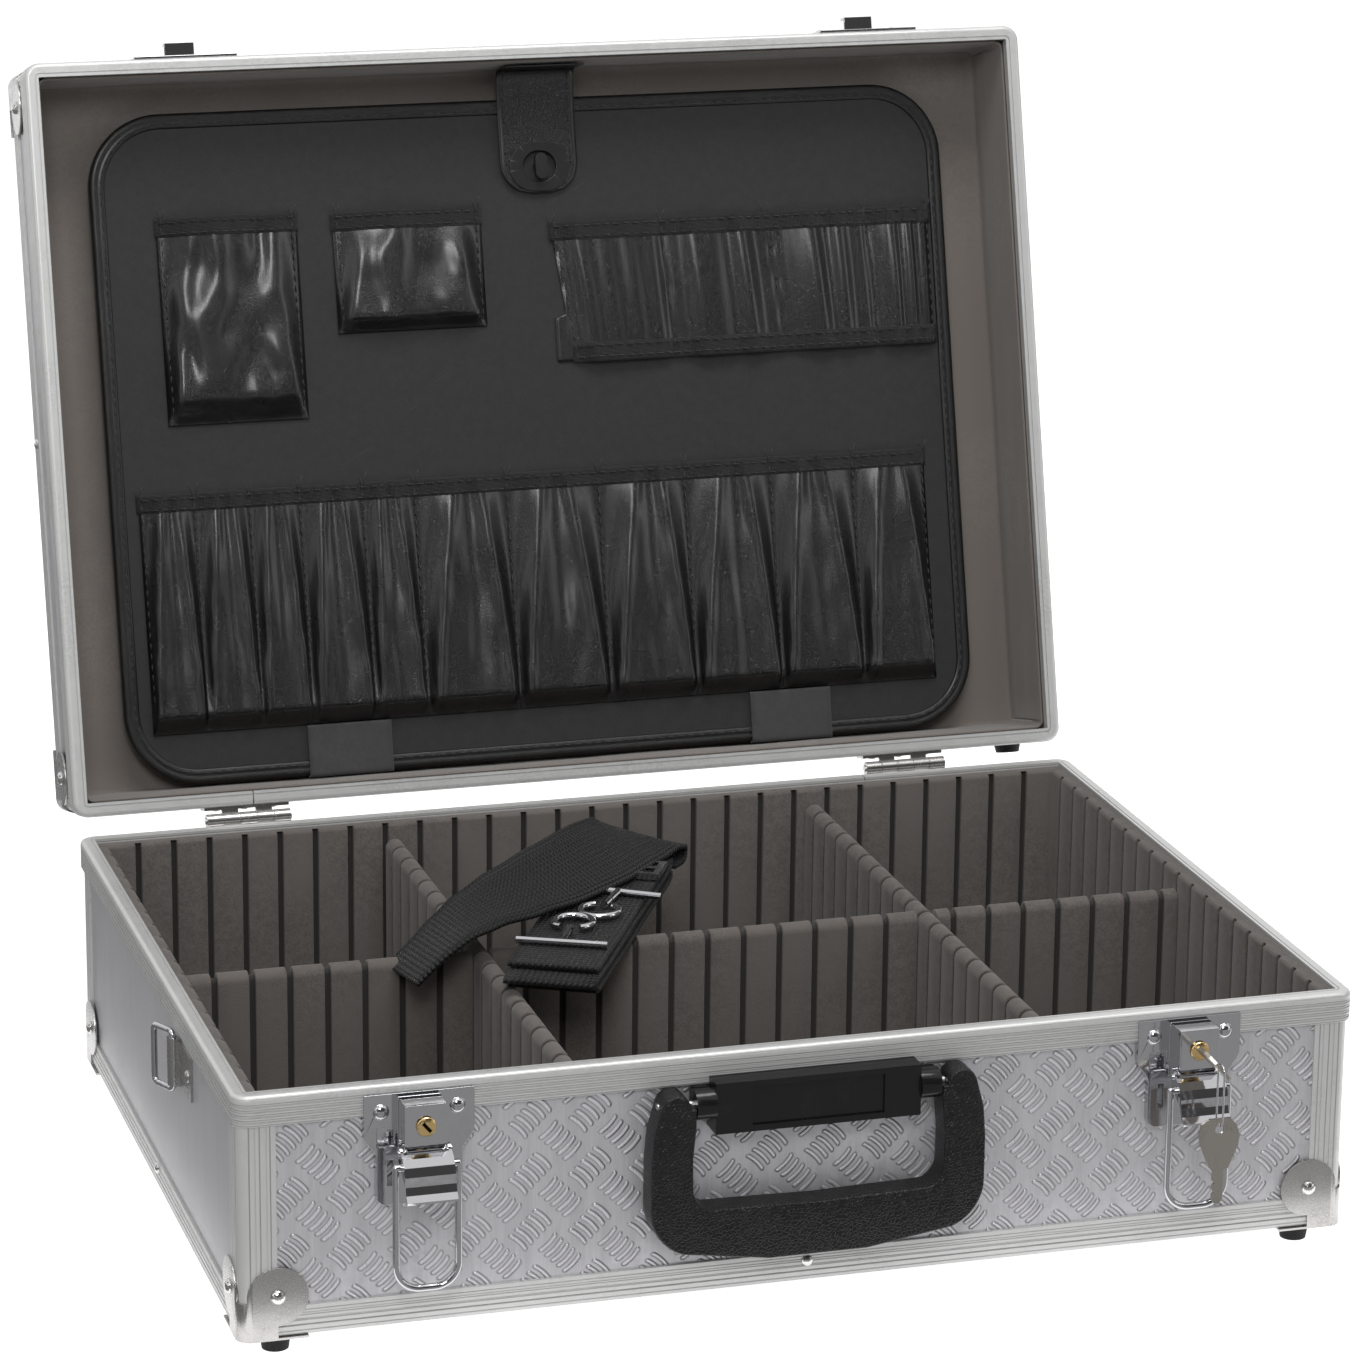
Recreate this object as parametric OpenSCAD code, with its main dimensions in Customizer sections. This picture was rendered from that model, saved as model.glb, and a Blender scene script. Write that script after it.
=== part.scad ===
// Hard tool case with a hinged lid, two draw latches and a pocketed tool pallet.
// Origin: centre of the base's underside. +X right seen from the front,
// the front (handle and latches) faces -Y, +Z up. Millimetres.
// Lid pieces are drawn closed and turned open about the hinge by on_lid().

/* [Case] */
// Overall width over the rims
case_w = 460; // [420:5:520]
// Overall depth over the rims
case_d = 330; // [300:5:380]
// Height of the base from the edge profile's underside to the rim's top
base_h = 100; // [92:1:130]
// Height of the lid, the same way
lid_h = 50; // [46:1:70]
// Gap between the two rims when the lid is closed
rim_seam = 0.5; // [0.3:0.1:1]
// How far the lid stands open in the stored pose
lid_open = 104.74; // [80:0.01:110]

/* [Shell] */
// Thickness of the laminated wall and floor panels
panel_t = 3; // [2.5:0.1:4]
// How far the edge profiles stand proud of the panels
edge_proud = 1; // [0.8:0.1:1.5]
// How far the rims stand proud of the edge profiles
rim_proud = 1.5; // [1:0.1:2.5]
// Height of the rim's outer skirt
rim_h = 12.5; // [11:0.5:14]
// Thickness of the rim's inner lip
rim_lip_t = 0.7; // [0.5:0.1:1]
// Thickness of the rim's web across the panel edge
rim_web_t = 1.6; // [1.2:0.1:2.5]
// Height of the bottom and top edge profiles on the walls
edge_h = 11.5; // [10:0.5:14]
// Width of the vertical corner posts on each wall
post_w = 15; // [13:0.5:18]
// Thickness of the pressed corner caps
cap_t = 0.9; // [0.6:0.1:1.2]
// Radius of a corner cap's round lobe
cap_lobe_r = 12; // [9:0.5:12]
// Height of the rubber feet below the caps
foot_h = 7.4; // [4:0.1:9]
// Radius of a bottom foot where it is glued on
foot_r = 6.5; // [5:0.5:7.5]
// Radius of a small foot on the hinge side
rear_foot_r = 6.5; // [5:0.5:7]
// Height of the feet on the hinge side above the panel
rear_foot_h = 7; // [5:0.5:9]

/* [Lining] */
// Thickness of the ribbed foam lining in the base
foam_t = 6; // [5:0.5:8]
// Thickness of the floor pad
floor_pad_t = 3; // [2:0.5:5]
// Spacing of the lining's grooves
groove_pitch = 15.8; // [12:0.2:20]
// Width of a groove
groove_w = 2.5; // [2:0.1:3.5]
// Depth of a groove in the lining
groove_deep = 3; // [2:0.1:4]
// Thickness of a divider
divider_t = 8; // [7:0.5:9]
// Depth of a groove in a divider
divider_groove = 1.6; // [1:0.1:2.2]
// Depth of the dividers' tops below the rim's top
divider_drop = 9; // [7:0.5:20]
// Place of the left long divider across the case
divider_left_x = -91; // [-110:1:-70]
// Place of the right long divider across the case
divider_right_x = 104; // [85:1:120]
// Thickness of the lid's fabric lining
lid_lining_t = 2; // [1.5:0.1:3]

/* [Pallet] */
// Gap between the tool pallet and the lid's lining at each side
pallet_gap_x = 22.3; // [19:0.1:35]
// Gap between the tool pallet and the lid's lining at the front
pallet_gap_y = 13.6; // [12:0.1:40]
// Thickness of the pallet board
pallet_t = 4; // [3:0.2:5]
// Corner radius of the pallet
pallet_r = 33; // [20:1:40]
// Depth of the pallet's face behind the lid's rim
pallet_deep = 32; // [30:0.5:33]
// Width of the binding on the pallet's face
binding_w = 7; // [5:0.5:9]
// Thickness of the leatherette
leather_t = 1; // [0.8:0.1:1.4]
// Width of the closing strap
strap_w = 36; // [30:1:42]

/* [Latches] */
// Place of each latch from the case's centre
latch_x = 158; // [140:1:165]
// Width of a latch plate
latch_w = 43.5; // [42:0.5:46]
// Sheet thickness of the latch plate and catch
latch_t = 1.2; // [1:0.1:1.5]
// Width of the raised lock box
box_w = 16.6; // [15:0.2:17]
// How far the lock box stands out from the plate
box_out = 10.8; // [10:0.2:12]
// Wire radius of the bail
bail_r = 1.4; // [1.1:0.1:1.5]
// Distance between the bail's leg centres
bail_w = 24.6; // [24.6:0.1:26]
// Length of the bail from its pivot to its bar
bail_l = 50; // [49:0.5:51]
// Bend radius of the bail's corners
bail_bend = 9.5; // [6:0.5:10]
// Width of the lever
lever_w = 20; // [19:0.2:20.4]
// Radius of the lock barrel
barrel_r = 3; // [2.8:0.1:3.2]
// Radius of the barrel's domed head
barrel_head_r = 3.9; // [3.6:0.1:4.2]
// Thickness of the keys
key_t = 1.2; // [1:0.1:1.4]

/* [Handle] */
// Width of the handle over its arms
handle_w = 137; // [125:1:145]
// Thickness of the handle front to back
handle_t = 12.4; // [11:0.2:13]
// Height of the handle's grip
grip_h = 22; // [18:0.5:24]
// Drop from the handle's pivot to the grip's underside
handle_drop = 65; // [58:1:68]
// Width of the handle's bracket
bracket_w = 100; // [95:1:103]
// Radius of the handle's pivot pins
handle_pin_r = 2; // [1.5:0.1:2.5]

/* [Hinges] */
// Place of each hinge from the case's centre
hinge_x = 153; // [120:1:165]
// Width of a hinge
hinge_w = 38; // [34:1:44]
// Distance of the hinge axis behind the rims
hinge_back = 5.6; // [5:0.1:7]
// Outer radius of the hinge knuckles
knuckle_r = 3; // [2.6:0.1:3.4]
// Radius of the hinge pins
hinge_pin_r = 1.5; // [1.2:0.1:1.7]

/* [Side rings] */
// Wire radius of a side ring
ring_wire_r = 1.3; // [1:0.1:1.4]
// Height of a side ring over its wire
ring_tall = 27; // [24:0.5:28]
// Width of a side ring between wire centres
ring_wide = 13; // [11:0.5:18]
// How far the rings stand swung out in the stored pose
ring_out = 25; // [10:1:60]

/* [Hidden] */

run_gap = 0.05;      // radial clearance of a pin that turns
seat_gap = 0.3;      // clearance between pieces that only lie together
mesh_n = 48;         // sides of the plain round pieces

// Shell: outer faces of the panels, profiles and rims
panel_x = case_w / 2 - rim_proud - edge_proud;
panel_y = case_d / 2 - rim_proud - edge_proud;
inner_x = panel_x - panel_t;
inner_y = panel_y - panel_t;
edge_x = panel_x + edge_proud;
edge_y = panel_y + edge_proud;
rim_x = case_w / 2;
rim_y = case_d / 2;
rim_w = rim_lip_t + panel_t + edge_proud + rim_proud;
rim_top = base_h - edge_proud;
lid_top = rim_top + rim_seam + lid_h;
core = panel_t + rim_lip_t - 0.05;  // solid corner core between the wall panels
post_r = 5;          // outer radius of a corner post
rim_corner = rim_w + 0.6;
tenon_r = rim_corner - rim_w + rim_lip_t + panel_t;

// Hinge axis
hinge_y = rim_y + hinge_back;
hinge_z = rim_top + rim_seam / 2;

// Inside of the base
foam_x = inner_x - foam_t;
foam_y = inner_y - foam_t;
floor_z = panel_t + floor_pad_t;
divider_top = rim_top - divider_drop;

// Latch, in the plate's own frame: x from its centre, y outwards from the rim
plate_y = -rim_y - latch_t;
box_front = plate_y - box_out;
box_top_z = rim_top - 5;
box_low_z = rim_top - 21.6;
barrel_z = rim_top - 13.7;
pivot_y = box_front + 2.6;
pivot_z = rim_top - 24.8;
lever_pin_r = 1.2;
bail_py = pivot_y - 4;
bail_pz = pivot_z - 4.4;
catch_bar_y = plate_y - 3.2;
catch_bar_z = bail_pz + sqrt(pow(bail_l, 2) - pow(bail_py - catch_bar_y, 2));

// Keys
key_tip = 31.4;      // from a key's hole to the tip of its blade
key_hole_y = -rim_y - 0.35 - key_tip;
key_roll = 40;
key_hole_r = 2.5;
spare_hole_r = 1.9;
link_wire = 0.4;
link_r = 3.2;
link_y = key_hole_y - link_r;
link_top = barrel_z + 2.1;
link_l = 25.4;       // between the wire's centres, top to bottom
spare_hole_z = link_top - link_l - spare_hole_r + link_wire + 0.05;

// Handle
handle_y = -rim_y - 6.4;
handle_z = rim_top - 18;
arm_r = 8;

// Side rings
ring_axis_x = panel_x + 2.9;
ring_axis_y = -49;
ring_z = rim_top - 26.5;

// Pallet, drawn with the lid closed
pallet_z = rim_top + rim_seam + pallet_deep;
lid_in_y = inner_y - rim_lip_t - lid_lining_t;
pallet_back = lid_in_y - 1;
pallet_w = 2 * (inner_x - rim_lip_t - lid_lining_t - pallet_gap_x);
pallet_l = pallet_back + lid_in_y - pallet_gap_y;
pallet_mid = pallet_back - pallet_l / 2;
pallet_front = pallet_back - pallet_l;

function arc(cx, cy, r, a0, a1, n) =
  [for (i = [0:n]) [cx + r * cos(a0 + (a1 - a0) * i / n), cy + r * sin(a0 + (a1 - a0) * i / n)]];

module on_lid() {
  translate([0, hinge_y, hinge_z])
    rotate([-lid_open, 0, 0])
      translate([0, -hinge_y, -hinge_z])
        children();
}

// The lid is the same tray as the base, upside down on top of it
module lid_tray() {
  on_lid()
    translate([0, 0, lid_top - edge_proud])
      mirror([0, 0, 1])
        children();
}

module both_sides() {
  for (s = [-1, 1])
    scale_x(s) children();
}

module scale_x(s) {
  if (s < 0)
    mirror([1, 0, 0]) children();
  else
    children();
}

module four_corners() {
  for (mx = [0, 1], my = [0, 1])
    mirror([mx, 0, 0])
      mirror([0, my, 0])
        children();
}

module round_rect(w, l, r) {
  square([w - 2 * r, l], center = true);
  square([w, l - 2 * r], center = true);
  for (x = [-1, 1], y = [-1, 1])
    translate([x * (w / 2 - r), y * (l / 2 - r)])
      circle(r = r, $fn = mesh_n);
}

// ---- Tray pieces, shared by the base and the lid ----

module tray_floor() {
  linear_extrude(panel_t)
    round_rect(2 * panel_x, 2 * panel_y, post_r - edge_proud);
}

module tray_front(h) {
  translate([-panel_x + core, -panel_y, panel_t])
    cube([2 * (panel_x - core), panel_t, h - edge_proud - rim_web_t - panel_t]);
}

module tray_side(h) {
  translate([panel_x - panel_t, -panel_y + core, panel_t])
    cube([panel_t, 2 * (panel_y - core), h - edge_proud - rim_web_t - panel_t]);
}

module rim_section() {
  skirt = rim_lip_t + panel_t;
  ribs = [for (i = [0:3], p = [[0, 0], [-0.5, 0], [-0.5, 1], [0, 1]])
    [rim_w + p[0], -4 - 2.1 * i - 0.7 * p[1]]];
  polygon(concat(
    [[0, 0], [1.2, 0], [1.2, -0.4], [1.7, -0.4], [1.7, 0]],
    arc(rim_w - 2, -2, 2, 90, 0, 6),
    ribs,
    [[rim_w, -rim_h + 0.5], [rim_w - 0.5, -rim_h], [skirt, -rim_h], [skirt, -rim_web_t],
     [rim_lip_t, -rim_web_t], [rim_lip_t, -4.5], [0, -4.5]]));
}

// One bar bent round four corners, with its butt joint at the back
module tray_rim(h, joint_x) {
  side_y = rim_y - rim_corner;
  side_x = rim_x - rim_corner;
  translate([0, 0, h - edge_proud])
    difference() {
      union() {
        for (a = [0, 180])
          rotate([0, 0, a]) {
            translate([rim_x - rim_w, side_y, 0])
              rotate([90, 0, 0])
                linear_extrude(2 * side_y) rim_section();
            translate([-side_x, rim_y - rim_w, 0])
              rotate([90, 0, 90])
                linear_extrude(2 * side_x) rim_section();
          }
        for (i = [0:3])
          rim_bend(i, side_x, side_y);
      }
      translate([joint_x, rim_y - rim_w / 2, -rim_h / 2])
        cube([0.6, rim_w + 2, rim_h + 2], center = true);
    }
}

module rim_bend(i, side_x, side_y) {
  sx = (i == 0 || i == 3) ? 1 : -1;
  sy = i < 2 ? 1 : -1;
  translate([sx * side_x, sy * side_y, 0])
    rotate([0, 0, 90 * i])
      rotate_extrude(angle = 90, $fn = mesh_n)
        translate([rim_corner - rim_w, 0]) rim_section();
}

module edge_section() {
  polygon(concat(
    [[0, edge_h]],
    [[edge_proud, edge_h]],
    [for (i = [0:2], p = [[0, 0], [-0.3, 0], [-0.3, 1], [0, 1]])
      [edge_proud + p[0], 8.6 - 2.4 * i - 0.6 * p[1]]],
    arc(edge_proud - 1.5, 0.5, 1.5, 0, -90, 4),
    [[-edge_h, -edge_proud], [-edge_h, 0], [0, 0]]));
}

module tray_edges() {
  for (a = [0, 180])
    rotate([0, 0, a]) {
      translate([panel_x, edge_y - post_w, 0])
        rotate([90, 0, 0])
          linear_extrude(2 * (edge_y - post_w)) edge_section();
      translate([-edge_x + post_w, panel_y, 0])
        rotate([90, 0, 90])
          linear_extrude(2 * (edge_x - post_w)) edge_section();
    }
}

module corner_square(reach, r) {
  difference() {
    square(reach);
    translate([reach - r, reach - r]) square(r);
  }
  translate([reach - r, reach - r]) intersection() {
    circle(r = r, $fn = mesh_n);
    square(r);
  }
}

module tray_post(h) {
  rim_low = h - edge_proud - rim_h;
  translate([edge_x - post_w, edge_y - post_w, 0]) {
    // Angle round the corner, with two shallow lines on each face
    translate([0, 0, -edge_proud])
      linear_extrude(rim_low + edge_proud)
        difference() {
          corner_square(post_w, post_r);
          square([post_w - edge_proud - core, post_w - edge_proud]);
          square([post_w - edge_proud, post_w - edge_proud - core]);
          for (p = [3.5, 8])
            translate([p, post_w - 0.3]) square([0.6, 1]);
          for (p = [3.5, 8])
            translate([post_w - 0.3, p]) square([1, 0.6]);
        }
  }
}

module tray_posts(h) {
  rim_low = h - edge_proud - rim_h;
  four_corners() {
    difference() {
      tray_post(h);
      cube([panel_x, panel_y, panel_t]);
    }
    // Tenon of the core inside the rim
    translate([panel_x - core, panel_y - core, rim_low])
      linear_extrude(rim_h - rim_web_t)
        intersection() {
          square(core);
          translate([core - tenon_r, core - tenon_r]) circle(r = tenon_r, $fn = mesh_n);
        }
  }
}

module cap_lobe() {
  // Outline on one wall: distance from the corner's outer face, height
  square([post_w + cap_t, post_w - 1 + cap_t + edge_proud]);
  translate([post_w + cap_t, post_w + 1 + cap_t + edge_proud])
    circle(r = cap_lobe_r, $fn = mesh_n);
}

module corner_cap() {
  out_x = edge_x + cap_t;
  out_y = edge_y + cap_t;
  low = -edge_proud - cap_t;
  size = post_w + cap_t + cap_lobe_r;
  intersection() {
    translate([out_x - size, out_y - size, low])
      linear_extrude(2 * cap_lobe_r + 8)
        difference() {
          corner_square(size, post_r + cap_t);
          corner_square(size - cap_t, post_r);
        }
    union() {
      translate([out_x, out_y + 1, low])
        mirror([1, 0, 0])
          rotate([90, 0, 0])
            linear_extrude(post_r + 3) cap_lobe();
      translate([out_x + 1, out_y, low])
        rotate([0, 0, -90])
          rotate([90, 0, 0])
            linear_extrude(post_r + 3) cap_lobe();
    }
  }
  translate([out_x - size, out_y - size, low])
    linear_extrude(cap_t)
      corner_square(size, post_r + cap_t);
}

module rivet(r = 3, tall = 1.8) {
  // Domed head standing on z = 0
  rise = min(tall, r * 0.8);
  ball = (r * r + rise * rise) / (2 * rise);
  rotate_extrude($fn = mesh_n)
    polygon(concat([[0, 0], [r, 0]],
      [for (i = [1:5]) [r * cos(18 * i), rise * sin(18 * i)]]));
}

module tray_rivets() {
  wall_z = post_w + 1;
  four_corners() {
    translate([edge_x - post_w, edge_y + cap_t, wall_z])
      rotate([-90, 0, 0]) rivet();
    translate([edge_x + cap_t, edge_y - post_w, wall_z])
      rotate([0, 90, 0]) rivet();
  }
  for (s = [0, 180])
    rotate([0, 0, s]) {
      translate([0, edge_y, edge_h / 2 + 1.6])
        rotate([-90, 0, 0]) rivet(2.4, 1.4);
      translate([edge_x, 0, edge_h / 2 + 1.6])
        rotate([0, 90, 0]) rivet(2.4, 1.4);
    }
}

module foot(r, h) {
  // Stands on z = 0 and tapers outwards along +Z
  cylinder(r1 = r, r2 = r - 1.2, h = h, $fn = mesh_n);
}

// ---- Base ----

module base_bottom_panel() { color("silver") tray_floor(); }
module base_front_panel() { color("silver") tray_front(base_h); }
module base_back_panel() { color("silver") mirror([0, 1, 0]) tray_front(base_h); }
module base_right_panel() { color("silver") tray_side(base_h); }
module base_left_panel() { color("silver") mirror([1, 0, 0]) tray_side(base_h); }
module base_rim() { color("gainsboro") tray_rim(base_h, 130); }
module base_edge_profiles() { color("gainsboro") tray_edges(); }
module base_corner_posts() { color("gainsboro") tray_posts(base_h); }
module base_corner_caps() { color("lightgray") four_corners() corner_cap(); }
module base_rivets() { color("lightgray") tray_rivets(); }

foot_x = edge_x - 16;
foot_y = edge_y - 10.6;
foot_top = -edge_proud - cap_t;

module base_feet() {
  color("black")
    four_corners()
      translate([foot_x, foot_y, foot_top])
        mirror([0, 0, 1]) foot(foot_r, foot_h);
}

module rear_feet() {
  color("black")
    both_sides()
      translate([foot_x - 8, panel_y, rim_top / 2])
        rotate([-90, 0, 0]) foot(rear_foot_r, rear_foot_h);
}

// Grooves cut in a strip that is drawn along +X with its face towards +Y
module comb(l, t, deep) {
  n = floor((l / 2 - groove_w) / groove_pitch);
  difference() {
    translate([-l / 2, 0]) square([l, t]);
    for (i = [-n:n])
      translate([i * groove_pitch - groove_w / 2, t - deep])
        square([groove_w, deep + 1]);
  }
}

module base_wall_lining() {
  top = rim_top - 2;
  gap = 0.05;
  color("dimgray") {
    for (s = [0, 180])
      rotate([0, 0, s]) {
        translate([0, -inner_y + rim_lip_t + gap, floor_z])
          linear_extrude(top - floor_z)
            comb(2 * (inner_x - rim_lip_t - gap), foam_t - rim_lip_t, groove_deep);
        translate([inner_x - rim_lip_t - gap, 0, floor_z])
          rotate([0, 0, 90])
            linear_extrude(top - floor_z)
              comb(2 * (foam_y - gap), foam_t - rim_lip_t, groove_deep);
      }
  }
}

module base_floor_pad() {
  color("dimgray")
    translate([0, 0, panel_t + floor_pad_t / 2])
      cube([2 * (inner_x - 0.1), 2 * (inner_y - 0.1), floor_pad_t], center = true);
}

// A divider standing along X, both faces grooved, its top rounded
module divider(l) {
  tall = divider_top - floor_z;
  half = divider_t / 2;
  intersection() {
    linear_extrude(tall)
      union() {
        comb(l, half, divider_groove);
        mirror([0, 1, 0]) comb(l, half, divider_groove);
      }
    rotate([90, 0, 90])
      translate([0, 0, -l / 2 - 1])
        linear_extrude(l + 2) {
          translate([-half, 0]) square([divider_t, tall - half]);
          translate([0, tall - half]) circle(r = half, $fn = mesh_n);
        }
  }
}

module long_divider(x) {
  color("dimgray")
    translate([x, 0, floor_z])
      rotate([0, 0, 90])
        divider(2 * (foam_y - seat_gap));
}

module cross_divider(x0, x1) {
  color("dimgray")
    translate([(x0 + x1) / 2, 0, floor_z])
      divider(x1 - x0 - 2 * seat_gap);
}

module divider_left() { long_divider(divider_left_x); }
module divider_right() { long_divider(divider_right_x); }
module cross_divider_left() { cross_divider(-foam_x, divider_left_x - divider_t / 2); }
module cross_divider_middle() {
  cross_divider(divider_left_x + divider_t / 2, divider_right_x - divider_t / 2);
}
module cross_divider_right() { cross_divider(divider_right_x + divider_t / 2, foam_x); }

// ---- Hinges ----

// One leaf, below the axis for the base, with its knuckles at the given slots
module hinge_leaf(slots) {
  step = hinge_w / 5;
  web_t = 1.4;
  leaf_low = rim_top - rim_h + 1.5;
  web_top = hinge_z - knuckle_r + web_t;
  difference() {
    union() {
      translate([-hinge_w / 2, rim_y, leaf_low])
        cube([hinge_w, latch_t, web_top - leaf_low]);
      for (i = slots)
        translate([-hinge_w / 2 + i * step + 0.15, 0, 0]) {
          translate([0, rim_y, web_top - web_t])
            cube([step - 0.3, hinge_back, web_t]);
          translate([0, hinge_y, hinge_z])
            rotate([0, 90, 0])
              cylinder(r = knuckle_r, h = step - 0.3, $fn = mesh_n);
        }
    }
    translate([-hinge_w / 2 - 1, hinge_y, hinge_z])
      rotate([0, 90, 0])
        cylinder(r = hinge_pin_r + run_gap, h = hinge_w + 2, $fn = mesh_n);
  }
  for (x = [-hinge_w / 3, 0, hinge_w / 3])
    translate([x, rim_y + latch_t, leaf_low + 3.6])
      rotate([-90, 0, 0]) rivet(2, 1);
}

module hinge_leaves_base() {
  color("gray") both_sides() translate([hinge_x, 0, 0]) hinge_leaf([0, 2, 4]);
}

module hinge_pins() {
  color("lightgray")
    both_sides()
      translate([hinge_x - hinge_w / 2 - 0.4, hinge_y, hinge_z])
        rotate([0, 90, 0])
          cylinder(r = hinge_pin_r, h = hinge_w + 0.8, $fn = mesh_n);
}

module hinge_leaves_lid() {
  color("gray")
    on_lid()
      both_sides()
        translate([hinge_x, 0, 2 * hinge_z])
          mirror([0, 0, 1]) hinge_leaf([1, 3]);
}

// ---- Latches: drawn at x = 0, with y and z in the case's frame ----

// Half width of the plate's outline at each height, waisted below the lock box
module plate_outline(inset) {
  w = latch_w / 2 - inset;
  low_w = latch_w / 2 - 4.8 - inset;
  top = rim_top - 3.5 - inset;
  low = rim_top - 49 + inset;
  side = concat(
    [[w, top], [w, rim_top - 20]],
    [for (i = [1:6]) [low_w + (w - low_w) * (1 + cos(30 * i)) / 2, rim_top - 20 - 1.6 * i]],
    arc(low_w - 4, low + 4, 4, 0, -80, 4),
    [[low_w - 5, low]]);
  polygon(concat(side, [for (i = [len(side) - 1:-1:0]) [-side[i][0], side[i][1]]]));
}

module latch_plate() {
  ear = 1.2;
  color("silver")
    difference() {
      union() {
        // Face of the plate and its folded edge back to the panel
        translate([0, -rim_y, 0])
          rotate([90, 0, 0])
            linear_extrude(latch_t) plate_outline(0);
        translate([0, -panel_y, 0])
          rotate([90, 0, 0])
            linear_extrude(rim_y - panel_y + 0.2)
              intersection() {
                difference() {
                  plate_outline(0);
                  plate_outline(latch_t);
                }
                translate([-latch_w, rim_top - 60])
                  square([2 * latch_w, 60 - rim_h - 0.2]);
              }
        // Lock box: front face, closed top and two cheeks that run down as ears
        translate([-box_w / 2, box_front, box_low_z])
          cube([box_w, ear, box_top_z - box_low_z]);
        translate([-box_w / 2, box_front, box_top_z - ear])
          cube([box_w, plate_y - box_front + 0.2, ear]);
        for (s = [-1, 1])
          translate([s * (box_w - ear) / 2, 0, 0]) {
            translate([-ear / 2, box_front, box_low_z])
              cube([ear, plate_y - box_front + 0.2, box_top_z - box_low_z]);
            translate([-ear / 2, pivot_y, pivot_z - 2.6])
              cube([ear, plate_y - pivot_y + 0.2, box_low_z - pivot_z + 3]);
            translate([-ear / 2, pivot_y, pivot_z])
              rotate([0, 90, 0]) cylinder(r = 2.6, h = ear, $fn = mesh_n);
          }
        for (s = [-1, 1])
          translate([s * (latch_w / 2 - 6.7), plate_y, rim_top - 10.5])
            rotate([90, 0, 0]) rivet(3.1, 2);
      }
      // Barrel hole, pin holes and the two windows beside the box
      translate([0, -rim_y + 1, barrel_z])
        rotate([90, 0, 0])
          cylinder(r = barrel_r + run_gap, h = 20, $fn = mesh_n);
      translate([-box_w, pivot_y, pivot_z])
        rotate([0, 90, 0])
          cylinder(r = lever_pin_r + run_gap, h = 2 * box_w, $fn = mesh_n);
      translate([-latch_w / 2 + 5, plate_y - 1, rim_top - 25])
        cube([7, 2.1, 8]);
      translate([-latch_w / 2 + 9, plate_y - 1, rim_top - 41])
        cube([2.4, 4, 10.5]);
    }
}

// Side view of the lever's shell, from its pivot down to the finger lip
module lever_side() {
  outer = concat(
    [[2.1, 1.4]],
    arc(0, 0, 2.6, 60, 160, 5),
    [[-5.6, -0.6], [-8.2, -3.2], [-9.6, -6.6], [-10.2, -10.2], [-11.4, -13.2], [-13.4, -15.4]]);
  inner = concat(
    [[-13, -16.4], [-10.4, -14], [-9, -10.4], [-8.4, -7], [-7.1, -4.2], [-4.8, -1.9]],
    [[-2.6, -1.2], [-2.4, -2.6], [1.6, -2.1]]);
  polygon(concat(outer, inner));
}

module cheek_side() {
  polygon(concat(
    arc(0, 0, 2.6, 60, 160, 5),
    [[-5.6, -0.6], [-8.2, -3.2], [-9.6, -6.6], [-10.2, -10.2], [-6.5, -8.6], [-2.2, -6.2],
     [1.2, -3]]));
}

module lever() {
  cheek = (lever_w - box_w) / 2 - 0.5;
  color("lightgray")
    translate([0, pivot_y, pivot_z])
      difference() {
        union() {
          translate([-lever_w / 2, 0, 0])
            rotate([90, 0, 90])
              linear_extrude(lever_w)
                difference() {
                  lever_side();
                  circle(r = 3.2, $fn = mesh_n);
                }
          for (s = [-1, 1])
            translate([s * (lever_w - cheek) / 2 - cheek / 2, 0, 0])
              rotate([90, 0, 90])
                linear_extrude(cheek) cheek_side();
        }
        translate([-lever_w, 0, 0])
          rotate([0, 90, 0])
            cylinder(r = lever_pin_r + run_gap, h = 2 * lever_w, $fn = mesh_n);
        translate([-lever_w, bail_py - pivot_y, bail_pz - pivot_z])
          rotate([0, 90, 0])
            cylinder(r = bail_r + run_gap, h = 2 * lever_w, $fn = mesh_n);
      }
}

module lever_pins() {
  color("lightgray")
    both_sides()
      translate([latch_x - lever_w / 2 - 0.6, pivot_y, pivot_z])
        rotate([0, 90, 0])
          cylinder(r = lever_pin_r, h = lever_w + 1.2, $fn = mesh_n);
}

// Wire loop hanging from its two inturned ends
module bail() {
  bend = bail_bend;
  leg_x = bail_w / 2;
  tip_in = 3.4;
  color("lightgray")
    translate([0, bail_py, bail_pz]) {
      for (s = [-1, 1])
        scale_x(s) {
          translate([leg_x - tip_in, 0, 0])
            rotate([0, 90, 0]) cylinder(r = bail_r, h = tip_in, $fn = mesh_n);
          translate([leg_x, 0, 0]) sphere(r = bail_r, $fn = mesh_n);
          translate([leg_x, 0, -bail_l + bend])
            cylinder(r = bail_r, h = bail_l - bend, $fn = mesh_n);
          translate([leg_x - bend, 0, -bail_l + bend])
            rotate([90, 0, 0])
              rotate([0, 0, -90])
                rotate_extrude(angle = 90, $fn = mesh_n)
                  translate([bend, 0]) circle(r = bail_r, $fn = mesh_n);
        }
      translate([-leg_x + bend, 0, -bail_l])
        rotate([0, 90, 0])
          cylinder(r = bail_r, h = 2 * (leg_x - bend), $fn = mesh_n);
    }
}

key_blade_w = 4.6;

module lock_barrel() {
  color("goldenrod")
    translate([0, box_front, barrel_z])
      rotate([90, 0, 0])
        difference() {
          union() {
            translate([0, 0, -box_out + 0.4])
              cylinder(r = barrel_r, h = box_out - 0.3, $fn = mesh_n);
            translate([0, 0, 0.1]) {
              cylinder(r = barrel_head_r, h = 0.9, $fn = mesh_n);
              translate([0, 0, 0.9]) rivet(barrel_head_r, 0.9);
            }
          }
          rotate([0, 0, key_roll])
            translate([0, 0, -4])
              cube([key_t + 0.2, key_blade_w + 0.2, 20], center = true);
        }
}

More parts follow.
